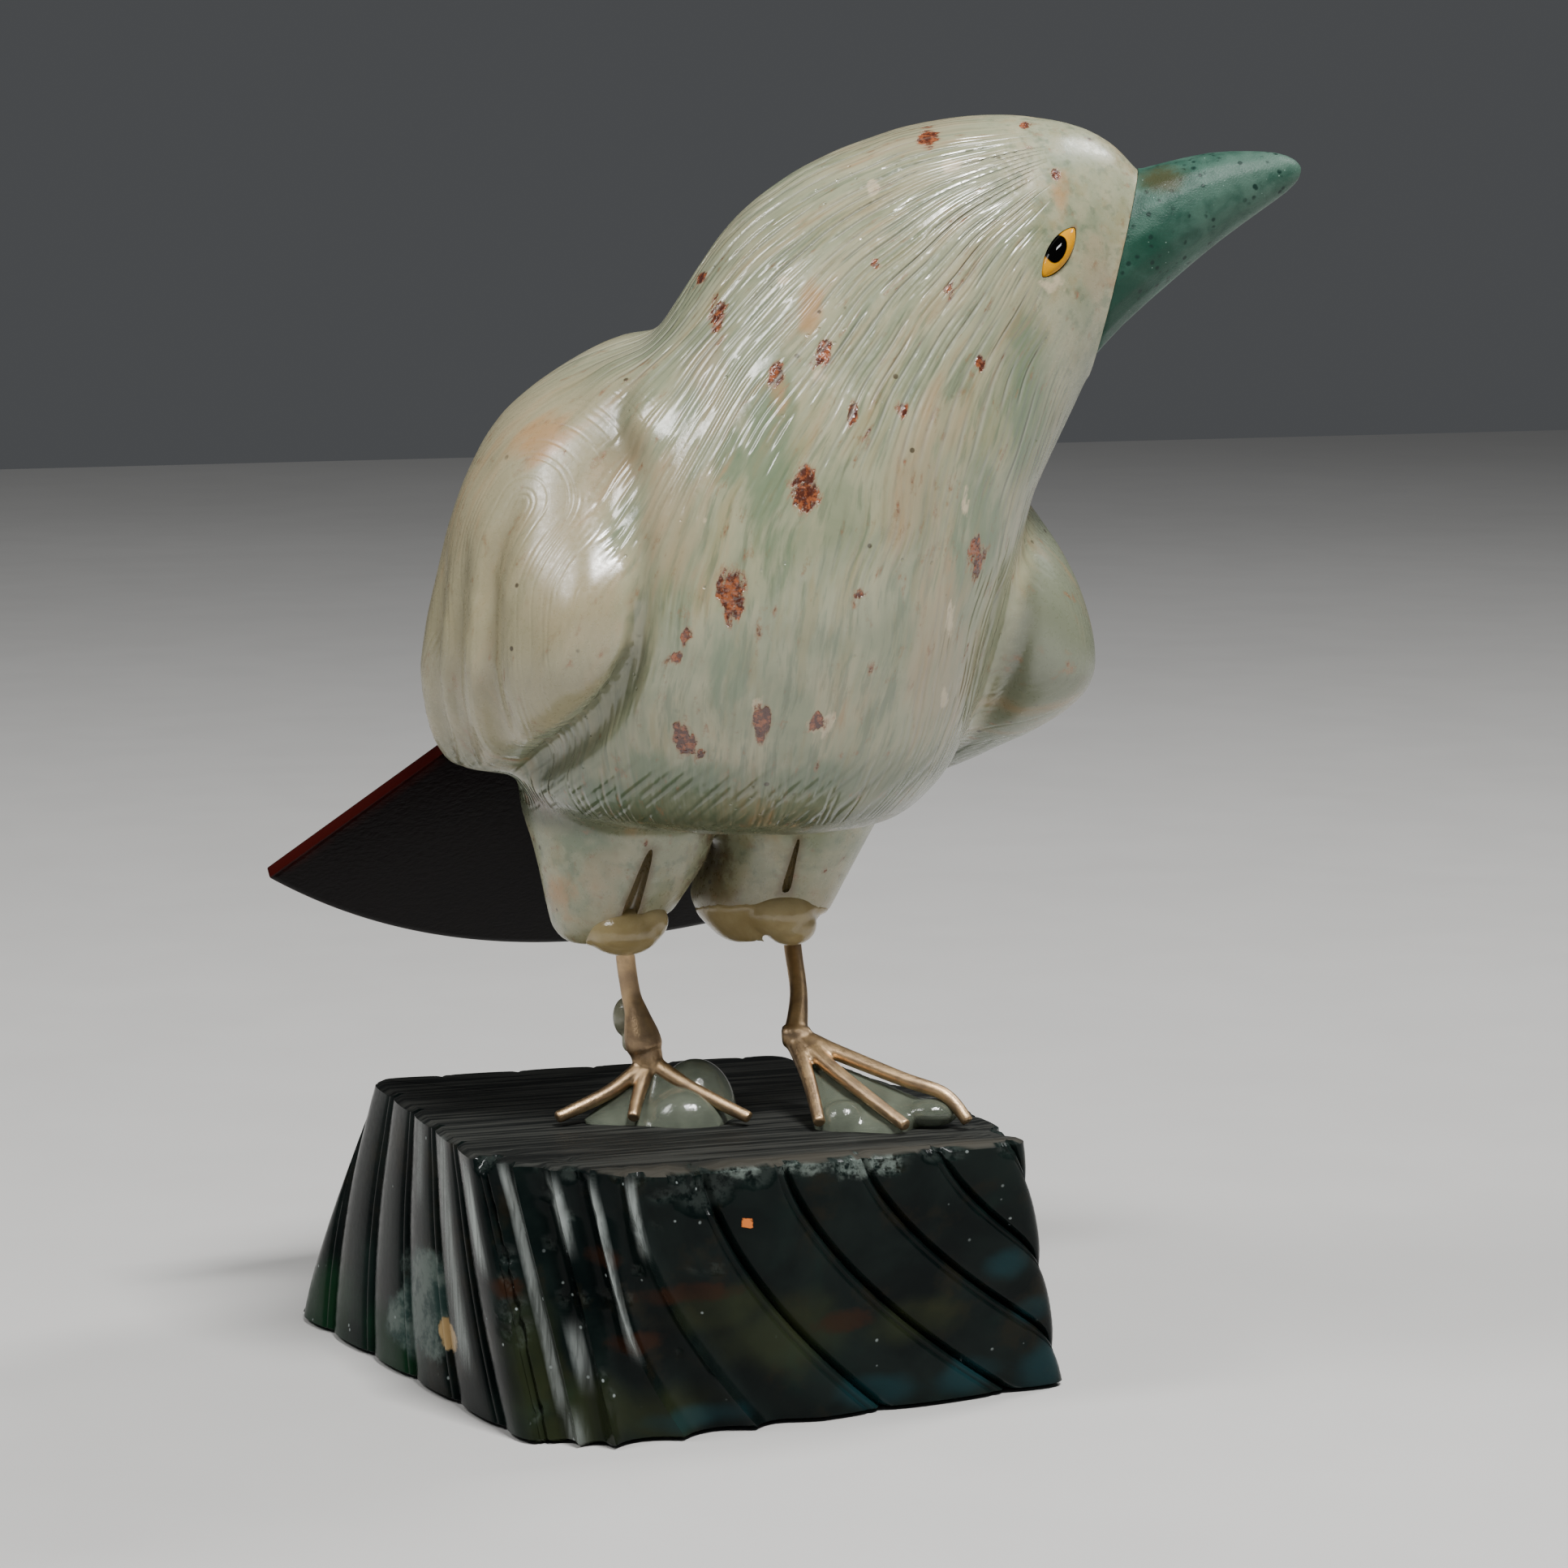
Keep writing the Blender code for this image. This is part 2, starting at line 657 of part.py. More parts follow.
def make_beak():
    back_x, back_z, front_x, front_z, depth, middle = seat_row()
    rows = [(back_x, back_z, front_x, front_z, depth)]
    rows += [(*top, *bottom, half) for top, bottom, half in BEAK_SECTIONS]
    rings = [profile_ring(r[0:2], r[2:4], r[4], middle, 18) for r in eased(rows, 2)]
    beak = new_object("beak", mesh_of("beak", *loft(rings)), material("beak_stone", BEAK_STONE, 0.3))
    boolean(beak, cutter("cut_beak_back", half_space(seat_row(), -1, GAP)))
    return beak


def make_tail():
    mesh = mesh_of("tail", *tail_slab())
    return new_object("tail", mesh, material("tail_stone", TAIL_STONE, 0.12))


def make_leg(side):
    shape = LEGS[side]
    leg = new_object("leg_" + side, tube(leg_path(side), LEG_RADIUS), material("gilt_wire", GILT_WIRE, 0.35, 1.0))
    boolean(leg, cutter("knot_" + side, ellipsoid(*shape["knot"], segments=10, rings=6)), "UNION")
    for i, toe in enumerate(shape["toes"]):
        path = [bird_point(*p) for p in eased(toe, 3)]
        boolean(leg, cutter(f"toe_{side}_{i + 1}", tube(path, TOE_RADIUS, 6)), "UNION")
    return leg


def leg_room(side, target):
    """Cuts room for the wire, its knot and its toes out of a piece of resin."""
    shape = LEGS[side]
    boolean(target, cutter(f"{target.name}_wire", tube(leg_path(side), LEG_RADIUS + GAP, 10)))
    boolean(target, cutter(f"{target.name}_knot", ellipsoid(*shape["knot"], GAP, 10, 6)))
    for i, toe in enumerate(shape["toes"]):
        path = [bird_point(*p) for p in eased(toe, 3)]
        path[-1] = path[-1] + (path[-1] - path[-2]).normalized() * 2 * GAP
        boolean(target, cutter(f"{target.name}_toe_{i + 1}", tube(path, TOE_RADIUS + GAP, 6)))


def make_collar(side):
    name = "thigh_resin_" + side
    collar = new_object(name, ellipsoid(*COLLARS[side]), material("collar_resin", COLLAR_RESIN, 0.15))
    boolean(collar, cutter(name + "_wire", tube(leg_path(side), LEG_RADIUS + GAP, 10)))
    return collar


def make_ankle_drop():
    mat = material("pool_resin", POOL_RESIN, 0.1)
    drop = new_object("ankle_resin", ellipsoid(*ANKLE_DROP, segments=10, rings=6), mat)
    leg_room("right", drop)
    return drop


def make_pool(side):
    """Resin poured round the toes, flat where it meets the block."""
    name = "foot_resin_" + side
    main, *bulges = FOOT_POOLS[side]
    pool = new_object(name, ellipsoid(*main), material("pool_resin", POOL_RESIN, 0.1))
    for i, bulge in enumerate(bulges):
        boolean(pool, cutter(f"{name}_bulge_{i + 1}", ellipsoid(*bulge, segments=12, rings=7)), "UNION")
    floor = BLOCK_HEIGHT + GAP
    size = BLOCK_WIDTH
    low = [Vector((size * a, size * b, floor - size)) for a, b in ((-1, -1), (1, -1), (1, 1), (-1, 1))]
    high = [p + Vector((0, 0, size)) for p in low]
    boolean(pool, cutter(name + "_floor", mesh_of("floor", *loft([low, high]))))
    leg_room(side, pool)
    return pool


def corner_shares():
    """How far round the block's top each corner is, from 0 to 1."""
    tops = [Vector(top) for top, _ in BLOCK_CORNERS.values()]
    lengths = [(tops[(i + 1) % len(tops)] - p).length for i, p in enumerate(tops)]
    total = sum(lengths)
    return [sum(lengths[:i]) / total for i in range(len(tops))], total


def block_outline(drop, samples=720):
    """The rounded outline at a share of the way down, evenly spaced round, with its outward normals."""
    shares, total = corner_shares()
    corners = [Vector(top).lerp(Vector(foot), drop) * BLOCK_SCALE for top, foot in BLOCK_CORNERS.values()]
    closed = np.array([*corners, corners[0]])
    at = np.arange(samples) / samples
    line = np.stack([np.interp(at, [*shares, 1.0], closed[:, axis]) for axis in (0, 1)], axis=1)
    reach = int(samples * BLOCK_CORNER_ROUNDING / (total * BLOCK_SCALE))
    weights = np.hanning(2 * reach + 3)[1:-1]
    weights /= weights.sum()
    padded = np.concatenate([line[-reach:], line, line[:reach]])
    rounded = np.stack([np.convolve(padded[:, axis], weights, "valid") for axis in (0, 1)], axis=1)
    ahead = np.roll(rounded, -1, axis=0) - np.roll(rounded, 1, axis=0)
    normals = np.stack([ahead[:, 1], -ahead[:, 0]], axis=1)
    normals /= np.linalg.norm(normals, axis=1)[:, None]
    return rounded, normals


def flute_height(share):
    """How far a flute stands out across its width, 0 in its groove and 1 along its crown."""
    return math.sqrt(1 - (2 * share - 1) ** 2)


def block_ring(drop, z, inset, fluting):
    """Points round the block at one level. Each column follows its flute down and sideways."""
    shares, total = corner_shares()
    rounded, normals = block_outline(drop)
    samples = len(rounded)
    runs = [FLUTE_RUN[name] for name in BLOCK_CORNERS]
    columns = FLUTE_COUNT * FLUTE_STEPS
    points = []
    for column in range(columns):
        start = column / columns
        run = np.interp(start, [*shares, 1.0], [*runs, runs[0]])
        at = (start + run * drop ** 1.4 / total) % 1.0 * samples
        low = int(at)
        mix = at - low
        place = rounded[low % samples] * (1 - mix) + rounded[(low + 1) % samples] * mix
        out = normals[low % samples]
        stand = flute_height((column % FLUTE_STEPS) / FLUTE_STEPS) - 1
        place = place + out * (stand * FLUTE_DEPTH * fluting - inset)
        points.append(Vector((place[0], place[1], z)))
    return points


def make_block():
    """Flutes sweep down its sides; the top and the underside are flat."""
    edge = BLOCK_EDGE_ROUNDING
    rings = [block_ring(0.0, BLOCK_HEIGHT, edge, 0.55)]
    for level in range(BLOCK_LEVELS + 1):
        drop = level / BLOCK_LEVELS
        z = BLOCK_HEIGHT - edge - (BLOCK_HEIGHT - 2 * edge) * drop
        rings.append(block_ring(drop, z, 0, min(1.0, 0.55 + 2.5 * drop)))
    rings.append(block_ring(1.0, 0, edge, 0.9))
    mesh = mesh_of("block", *loft(rings))
    return new_object("base_block", mesh, material("dark_stone", DARK_STONE, 0.2))


def main():
    clear_scene()
    make_block()
    make_body()
    make_beak()
    make_tail()
    for side in ("right", "left"):
        make_leg(side)
        make_collar(side)
        make_pool(side)
    make_ankle_drop()


main()
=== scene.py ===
# %% [markdown]
# A songbird, carved from one piece of pale green stone and polished by hand. Its beak is a second
# stone, its tail a thin dark slab, its eyes are glass, and it stands on gilt wire legs on a fluted
# block of dark stone. Every cell below makes one piece or one finish of it.

# %% Tools and the frame
import math
import random

import bmesh
import bpy
import numpy as np
from mathutils import Matrix, Vector
from mathutils.kdtree import KDTree
from mathutils.noise import noise as noise_value


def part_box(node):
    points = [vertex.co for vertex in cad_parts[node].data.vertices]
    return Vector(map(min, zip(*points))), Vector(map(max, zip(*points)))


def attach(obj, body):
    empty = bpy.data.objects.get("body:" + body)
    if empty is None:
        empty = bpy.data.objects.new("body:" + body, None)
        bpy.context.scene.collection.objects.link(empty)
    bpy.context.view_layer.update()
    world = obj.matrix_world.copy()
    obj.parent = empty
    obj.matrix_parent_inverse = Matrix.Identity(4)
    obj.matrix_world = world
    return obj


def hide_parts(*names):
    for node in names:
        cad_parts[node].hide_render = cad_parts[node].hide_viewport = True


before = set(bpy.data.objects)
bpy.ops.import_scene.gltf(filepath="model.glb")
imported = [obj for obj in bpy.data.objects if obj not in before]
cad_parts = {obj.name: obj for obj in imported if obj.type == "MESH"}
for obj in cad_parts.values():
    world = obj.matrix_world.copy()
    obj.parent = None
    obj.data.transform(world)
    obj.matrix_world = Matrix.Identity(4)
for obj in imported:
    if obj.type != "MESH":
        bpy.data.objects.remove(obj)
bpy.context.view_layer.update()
print("pieces in the frame:", sorted(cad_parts))

# %% [markdown]
# The bird is turned on its block, and its chest is turned again from the way its head looks. It is
# easier to give places in the bird's own directions, in millimetres, and to turn them once here.

# %% Places on the bird
MM = 0.001
BLOCK_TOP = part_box("base_block")[1].z
BIRD_PLACE = Vector((1.9 * MM, -4.9 * MM, BLOCK_TOP))
LOOK_TURN = math.radians(-20)
CHEST_TURN = math.radians(30)
TOP_LEVEL = 32


def bird_direction(x, y, z):
    """A step in the bird's own directions: the way it looks, away from the viewer, up."""
    return Matrix.Rotation(LOOK_TURN, 3, "Z") @ Vector((x, y, z)) * MM


def bird_point(x, y, z):
    """A place on the bird in millimetres, its height counted from the block's underside."""
    return BIRD_PLACE + bird_direction(x, y, z - TOP_LEVEL)


def chest_point(left, forward, z):
    """A place given on the chest: to the bird's left, forward, up."""
    x = math.cos(CHEST_TURN) * left + math.sin(CHEST_TURN) * forward
    y = math.sin(CHEST_TURN) * left - math.cos(CHEST_TURN) * forward
    return bird_point(x, y, z)


def in_bird(points):
    """World points, as rows, in the bird's own directions and millimetres."""
    turn = np.array(Matrix.Rotation(LOOK_TURN, 3, "Z"))
    return (points - np.array(BIRD_PLACE)) @ turn / MM + (0, 0, TOP_LEVEL)


print("the block's top is at", round(BLOCK_TOP, 4), "m")

# %% [markdown]
# The same few steps come back at every piece: choose it, copy it, open it with some of its faces
# selected, or finish it with a modifier. Each is a small helper, so that a cell below reads like a
# list of what a hand would do.

# %% Helpers for modelling
def only(*pieces):
    """Selects just these pieces, the last one active."""
    bpy.ops.object.select_all(action="DESELECT")
    for piece in pieces:
        piece.select_set(True)
    bpy.context.view_layer.objects.active = pieces[-1]


def placed(name, data):
    """A new object in the scene, made from a mesh, a curve, a light or a camera."""
    thing = bpy.data.objects.new(name, data)
    bpy.context.scene.collection.objects.link(thing)
    return thing


def node_copy(node, name):
    """A new piece from a frame node's own mesh, with its loose triangles merged."""
    piece = placed(name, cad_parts[node].data.copy())
    piece.data.name = name
    piece.data.materials.clear()
    select(piece, "VERT", lambda vert: True)
    bpy.ops.mesh.remove_doubles(threshold=0.01 * MM)
    bpy.ops.mesh.normals_make_consistent(inside=False)
    close_edit()
    return piece


def select(piece, kind, test):
    """Opens edit mode with just those faces, edges or points selected that pass the test."""
    only(piece)
    bpy.ops.object.mode_set(mode="EDIT")
    bpy.ops.mesh.select_mode(type=kind)
    bpy.ops.mesh.select_all(action="DESELECT")
    mesh = bmesh.from_edit_mesh(piece.data)
    for part in {"FACE": mesh.faces, "EDGE": mesh.edges, "VERT": mesh.verts}[kind]:
        if test(part):
            part.select_set(True)
    mesh.select_flush_mode()
    bmesh.update_edit_mesh(piece.data)


def close_edit():
    bpy.ops.object.mode_set(mode="OBJECT")


def face_outwards(piece):
    select(piece, "FACE", lambda face: True)
    bpy.ops.mesh.normals_make_consistent(inside=False)
    close_edit()


def apply(piece, kind, **settings):
    """Adds one modifier and applies it at once."""
    only(piece)
    step = piece.modifiers.new(kind.lower(), kind)
    for name, value in settings.items():
        setattr(step, name, value)
    bpy.ops.object.modifier_apply(modifier=step.name)


def join(name, *pieces):
    only(*pieces)
    bpy.ops.object.join()
    piece = bpy.context.active_object
    piece.name = piece.data.name = name
    return piece


def settle(piece):
    """Moves a piece's place into its mesh, so that its object sits at the origin."""
    only(piece)
    bpy.ops.object.transform_apply(location=True, rotation=True, scale=True)
    return piece


def one_skin(piece, size, rubs):
    """Overlapping shapes become one even skin, rubbed smooth."""
    apply(piece, "REMESH", mode="VOXEL", voxel_size=size)
    apply(piece, "SMOOTH", factor=0.5, iterations=rubs)


# Blender's usual threshold for a cut, a tenth of a millimetre, would pinch a mesh as fine as these
CUT_EXACT = 0.0005 * MM


def cut_flat(piece, place, normal, near=1.0):
    """Cuts off what lies on the normal's side near the place, and closes the cut with a flat face."""
    select(piece, "FACE", lambda face: (face.calc_center_median() - Vector(place)).length < near)
    bpy.ops.mesh.bisect(plane_co=place, plane_no=normal, use_fill=True, clear_outer=True, threshold=CUT_EXACT)
    close_edit()


def smooth(piece, angle=40):
    only(piece)
    bpy.ops.object.shade_smooth_by_angle(angle=math.radians(angle))


def points_of(piece, what="co"):
    """A row of three numbers for each of a mesh's points."""
    flat = np.empty(len(piece.data.vertices) * 3)
    piece.data.vertices.foreach_get(what, flat)
    return flat.reshape(-1, 3)


def normals_of(piece):
    return points_of(piece, "normal")


def move_points(piece, points):
    piece.data.vertices.foreach_set("co", points.ravel())
    piece.data.update()


def ball(centre, radii, segments=32, rings=16):
    """A ball at a place on the bird, stretched along its own directions."""
    bpy.ops.mesh.primitive_uv_sphere_add(segments=segments, ring_count=rings, radius=MM,
                                         location=bird_point(*centre), rotation=(0, 0, LOOK_TURN))
    bpy.context.active_object.scale = radii
    return settle(bpy.context.active_object)


def eased(rows, steps):
    """Rows of numbers with a smooth curve run through them, steps to each stretch."""
    rows = np.array(rows, float)
    at = np.arange((len(rows) - 1) * steps + 1) / steps
    here = np.minimum(at.astype(int), len(rows) - 2)
    t = (at - here)[:, None]
    p = [rows[np.clip(here + k, 0, len(rows) - 1)] for k in (-1, 0, 1, 2)]
    return 0.5 * (2 * p[1] + (p[2] - p[0]) * t + (2 * p[0] - 5 * p[1] + 4 * p[2] - p[3]) * t ** 2
                  + (3 * p[1] - p[0] - 3 * p[2] + p[3]) * t ** 3)


print("helpers are ready")

# %% [markdown]
# The carving itself is one stone. The frame holds its form in large facets, as a carver saws it
# before grinding. Rubbing those facets down gives the real, flowing surface: the eye sockets are
# closed and the beak's seat is drawn out first, so that both can be cut sharply again later.

# %% The carved stone, rubbed smooth
SEAT_TOP = bird_point(49.1, -10, 143.7)
SEAT_BOTTOM = bird_point(44.1, -10, 121.9)
SEAT_OUT = bird_direction(0, 1, 0).cross(SEAT_TOP - SEAT_BOTTOM).normalized()
EYES = {name: [sum(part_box("eye_" + name), Vector()) / 2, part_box("eye_" + name)] for name in ("right", "left")}
SOCKET_MARGIN = Vector((0.5, 0.5, 0.5)) * MM
SEAT_DRAWN_OUT = 3 * MM
STONE_GRAIN = 0.72 * MM
STONE_RUBS = 26
# The head gets a mesh twice as fine, for the feather strokes to be pressed into
FINE_FROM = bird_point(0, 0, 126)
FINE_SLOPE = bird_direction(0.25, 0, 1).normalized()


def in_socket(face):
    """True for a face that lines one of the eye sockets."""
    for middle, (low, high) in EYES.values():
        reach = (high - low) / 2 + SOCKET_MARGIN
        if all(all(abs(c) < r for c, r in zip(v.co - middle, reach)) for v in face.verts):
            return True
    return False


bird = node_copy("bird_body", "carved_bird")
select(bird, "FACE", in_socket)
bpy.ops.mesh.delete(type="FACE")
bpy.ops.mesh.select_all(action="SELECT")
bpy.ops.mesh.fill_holes(sides=0)
close_edit()
select(bird, "FACE", lambda face: face.normal.dot(SEAT_OUT) > 0.99
       and abs((face.calc_center_median() - SEAT_TOP).dot(SEAT_OUT)) < 0.2 * MM)
bpy.ops.mesh.extrude_region_move(TRANSFORM_OT_translate={"value": SEAT_OUT * SEAT_DRAWN_OUT})
bpy.ops.transform.resize(value=(0.9, 0.9, 0.9))
close_edit()
one_skin(bird, STONE_GRAIN, STONE_RUBS)
select(bird, "FACE", lambda face: (face.calc_center_median() - FINE_FROM).dot(FINE_SLOPE) > 0)
bpy.ops.mesh.subdivide(number_cuts=1)
close_edit()
cut_flat(bird, SEAT_TOP, SEAT_OUT, 40 * MM)
print("the stone has", len(bird.data.polygons), "faces")

# %% [markdown]
# The wings are told apart by ground grooves. Each groove is pressed into the skin along its path:
# steep where one feather ends, and running out slowly over the feather behind it, so that one seems
# to lie over the next. The same tool, pushed the other way, raises the crest of the wing's front lobe.
# On the far wing two more grooves are seen from the front, so they are given by their place in the
# photograph's view and laid on the stone by a ray. How deep each point lies is kept as a number, so
# that the finish can paint shade into the grooves.

# %% Grooves and crests of the wings
LEFT_WING_SHIFT = (3.0, 6.0, -3.0)
LEFT_SHIFT_HEIGHTS = (88, 122)
WING_GROOVES = [
    [(32.2, 13.6, 106.7), (35.6, 12.6, 99.0), (36.6, 13.4, 91.0), (35.3, 11.7, 83.8), (30.0, 3.4, 73.0)],
    [(35.8, 7.0, 102.0), (37.3, 6.4, 94.0), (37.3, 5.4, 87.0), (35.0, 1.8, 81.0), (30.0, -4.5, 73.0)],
    [(35.0, 0.0, 100.0), (36.6, -0.6, 90.0), (35.4, -3.2, 82.6), (30.5, -9.0, 74.0)],
    [(33.0, -7.0, 97.0), (34.0, -8.0, 88.0), (32.0, -11.0, 80.0), (28.0, -15.0, 74.0)],
]
SHOULDER_VALLEY = [(15.3, 12.2, 123.4), (20.7, 17.3, 119.3), (22.4, 18.2, 115.9), (22.3, 21.1, 111.4),
                   (22.6, 24.4, 107.1)]
LOBE_EDGE = [(22.6, 24.5, 106.7), (23.4, 25.6, 101.0), (24.3, 26.6, 94.3), (24.8, 24.6, 88.4),
             (26.0, 19.3, 82.6), (26.9, 11.1, 78.0), (26.3, 1.5, 74.0)]
FRONT_GROOVES = [([(33.6, 99), (32.6, 93.5), (31.2, 87), (29.4, 80.5)], 0.9),
                 ([(37.2, 97), (36.5, 92), (35.0, 85.5), (32.6, 79)], 0.7)]
LOBE_CREST = [(27.0, 20.0, 106.0), (29.3, 24.5, 98.3), (32.0, 23.7, 93.0), (31.8, 21.2, 85.5),
              (28.7, 12.2, 79.7)]
# For each line round the lobe: pressed in or raised, its depth, its reach to the front and to the
# back of it, the side that counts as its back, and over which shares of its length it fades in and out
LOBE_LINES = [
    (SHOULDER_VALLEY, 1, 0.9, 5.0, 3.5, (-1, -1, 1), 0.3, 0.3),
    (LOBE_EDGE, 1, 1.9, 1.6, 3.4, (-1, -1, 0), 0.45, 0.1),
    (LOBE_CREST, -1, 0.7, 4.0, 4.5, (-1, 1, 0), 0.4, 0.4),
]


def wing_point(side, out, ahead, up):
    """A place on one side of the chest, side 1 being the left, moved with the wing of that side."""
    share = np.interp(up, LEFT_SHIFT_HEIGHTS, (1, 0)) if side > 0 else 0
    further, forward, lower = (share * step for step in LEFT_WING_SHIFT)
    return chest_point(side * (out + further), ahead + forward, up + lower)


def chest_step(side, out, ahead):
    return (chest_point(side * out, ahead, 0) - chest_point(0, 0, 0)).normalized()


def point_finder(points):
    finder = KDTree(len(points))
    for index, point in enumerate(points):
        finder.insert(point, index)
    finder.balance()
    return finder


def groove(path, deep, near, far, behind, fade_in, fade_out):
    """The depth at each point of a groove, which reaches further to its behind side than before."""
    depths = np.zeros(len(bird.data.vertices))
    for i, place in enumerate(path):
        share = i / (len(path) - 1)
        full = deep * min(1, share / fade_in) * min(1, (1 - share) / fade_out)
        for co, index, apart in finder.find_range(place, max(near, far)):
            reach = far if (co - place).dot(behind) > 0 else near
            if apart < reach:
                depths[index] = max(depths[index], full * (1 - (apart / reach) ** 1.5) ** 2)
    return depths


def front_at(x, z):
    """The place on the stone that a viewer sees there."""
    return bird.ray_cast(bird_point(x, -60, z), bird_direction(0, 1, 0).normalized())[1]


def keep_values(piece, name, values):
    """Keeps one number for every point of a piece, for its finish to read."""
    attribute = piece.data.attributes.new(name, "FLOAT", "POINT")
    attribute.data.foreach_set("value", np.asarray(values, dtype=np.float32))


finder = point_finder(points_of(bird))
pressed = np.zeros(len(bird.data.vertices))
for side in (-1, 1):
    feathers = np.zeros(len(bird.data.vertices))
    for number, route in enumerate(WING_GROOVES):
        path = [wing_point(side, *place) for place in eased(route, 24)]
        deep = (1.0 - 0.1 * number) * MM
        depths = groove(path, deep, 0.9 * MM, 3.2 * MM, chest_step(side, 0, -1), 0.3, 0.05)
        feathers = np.maximum(feathers, depths)
    pressed += feathers
for route, inwards, deep, near, far, behind, *fades in LOBE_LINES:
    path = [wing_point(-1, *place) for place in eased(route, 24)]
    pressed += inwards * groove(path, deep * MM, near * MM, far * MM, chest_step(*behind), *fades)
for route, deep in FRONT_GROOVES:
    path = [front_at(x, z) for x, z in eased(route, 16)]
    pressed += groove(path, deep * MM, 0.8 * MM, 2.6 * MM, bird_direction(1, 0, 0), 0.35, 0.2)
move_points(bird, points_of(bird) - normals_of(bird) * pressed[:, None])
apply(bird, "SMOOTH", factor=0.4, iterations=2)
# the depth also sets the painted shade in each groove
keep_values(bird, "sunk", np.clip(pressed / MM, 0, 1))
print("deepest groove", round(pressed.max() / MM, 2), "mm")

# %% [markdown]
# Glass eyes are set in almond openings that lean forward. The same pointed almond, a little larger,
# cuts the opening, so the glass fits its seat with a hair's gap all round.

# %% Eyes and their openings
EYE_PLACE = (39.5, 134.6)
EYE_HALF_LENGTH = 3.85 * MM
EYE_HALF_WIDTH = 1.45 * MM
EYE_DOME = 1.5 * MM
EYE_SINK = 0.5 * MM
EYE_TILT = math.radians(46)
SOCKET_GAP = 0.12 * MM


def eye_seat(side):
    """Where an eye sits on the smooth head, with its three directions: along, across, out."""
    x, z = EYE_PLACE
    start = bird_point(x, -10 + side * 40, z)
    _, place, normal, _ = bird.ray_cast(start, bird_direction(0, -side, 0).normalized())
    lean = bird_direction(math.sin(EYE_TILT), 0, math.cos(EYE_TILT))
    along = (lean - lean.dot(normal) * normal).normalized()
    return place, along, normal.cross(along), normal


def almond(name, seat, grow):
    """A dome of glass, pointed at both ends."""
    place, along, across, normal = seat
    bpy.ops.mesh.primitive_uv_sphere_add(segments=64, ring_count=32, radius=1)
    glass = bpy.context.active_object
    glass.name = glass.data.name = name
    shares = points_of(glass)
    width = np.maximum(0, 1 - shares[:, 0] ** 2) ** 0.3
    reach = [EYE_HALF_LENGTH + grow, EYE_HALF_WIDTH + grow, EYE_DOME + grow]
    axes = np.array([along, across, normal])
    shares[:, 1] *= width
    shares[:, 2] *= 0.5 + 0.5 * width
    move_points(glass, np.array(place - normal * EYE_SINK) + (shares * reach) @ axes)
    return glass


def eye_map(glass, seat, side):
    """Lays the eye's own millimetres on it as a UV map: up along the almond, and backwards across it."""
    place, along, across, _ = seat
    across = -side * across
    layer = glass.data.uv_layers.new(name="eye")
    for loop in glass.data.loops:
        step = glass.data.vertices[loop.vertex_index].co - place
        layer.data[loop.index].uv = (step.dot(along) / MM, step.dot(across) / MM)


seats = {"right": eye_seat(-1), "left": eye_seat(1)}
glass_eyes = {}
cutters = []
for name, seat in seats.items():
    glass_eyes[name] = almond("glass_eye_" + name, seat, 0)
    eye_map(glass_eyes[name], seat, 1 if name == "left" else -1)
    smooth(glass_eyes[name], 60)
    cutters.append(almond("socket_" + name, seat, SOCKET_GAP))
print("eyes at", [tuple(round(c, 4) for c in seat[0]) for seat in seats.values()])

# %% [markdown]
# A narrow slot is ground into the front of each thigh, wider below. It is cut by a tapered blade,
# rounded like the wheel that ground it. Both slots are cut with the eye openings in one Boolean.

# %% Slots in the thighs
THIGH_SLOTS = {
    "right": ((-6.9, 65.2), (-9.7, 56.4), 1.35),
    "left": ((10.3, 65.2), (8.7, 58.4), 0.85),
}
SLOT_TAPER = 0.65
SLOT_DEPTH = 1.1 * MM
BLADE_REACH = 3.2 * MM
slot_lines = []


def slot(name, top, bottom, half_width):
    """A blade that bites into the thigh's front, from the slot's bottom to its top."""
    inward = bird_direction(0, 1, 0).normalized()
    found = [front_at(x, z) for x, z in (bottom, top)]
    slot_lines.append((in_bird(np.array(found)), half_width))
    bpy.ops.mesh.primitive_cylinder_add(vertices=24, radius=1, depth=2)
    blade = bpy.context.active_object
    blade.name = name
    select(blade, "FACE", lambda face: abs(face.normal.z) > 0.9)
    bpy.ops.mesh.bevel(offset=0.4, segments=3, affect="EDGES")
    close_edit()
    shares = points_of(blade)
    line = (shares[:, 2:3] + 1) / 2
    ends = np.array(found) + np.array(inward) * (SLOT_DEPTH - BLADE_REACH)
    places = ends[0] + (ends[1] - ends[0]) * line
    swell = (1.0 - SLOT_TAPER * line) * half_width
    wide, deep = np.array(bird_direction(1, 0, 0)), np.array(inward) * BLADE_REACH
    move_points(blade, places + shares[:, 0:1] * swell * wide + shares[:, 1:2] * deep)
    return blade


cutters += [slot("slot_" + name, *sizes) for name, sizes in THIGH_SLOTS.items()]
cutter = join("openings", *cutters)
face_outwards(cutter)
apply(bird, "BOOLEAN", object=cutter, operation="DIFFERENCE", solver="EXACT")
bpy.data.objects.remove(cutter)
print("the stone has", len(bird.data.polygons), "faces after its openings")

# %% [markdown]
# A carver grinds feather lines from the beak back over the head and down the neck, getting finer on
# the breast. They run like the meridians of a globe with a bent axis: it comes out of the forehead
# beside the beak, leans down through the neck and leaves between the thighs. The angle round that
# axis tells which line a point lies on; the height tells how far along the line it is.

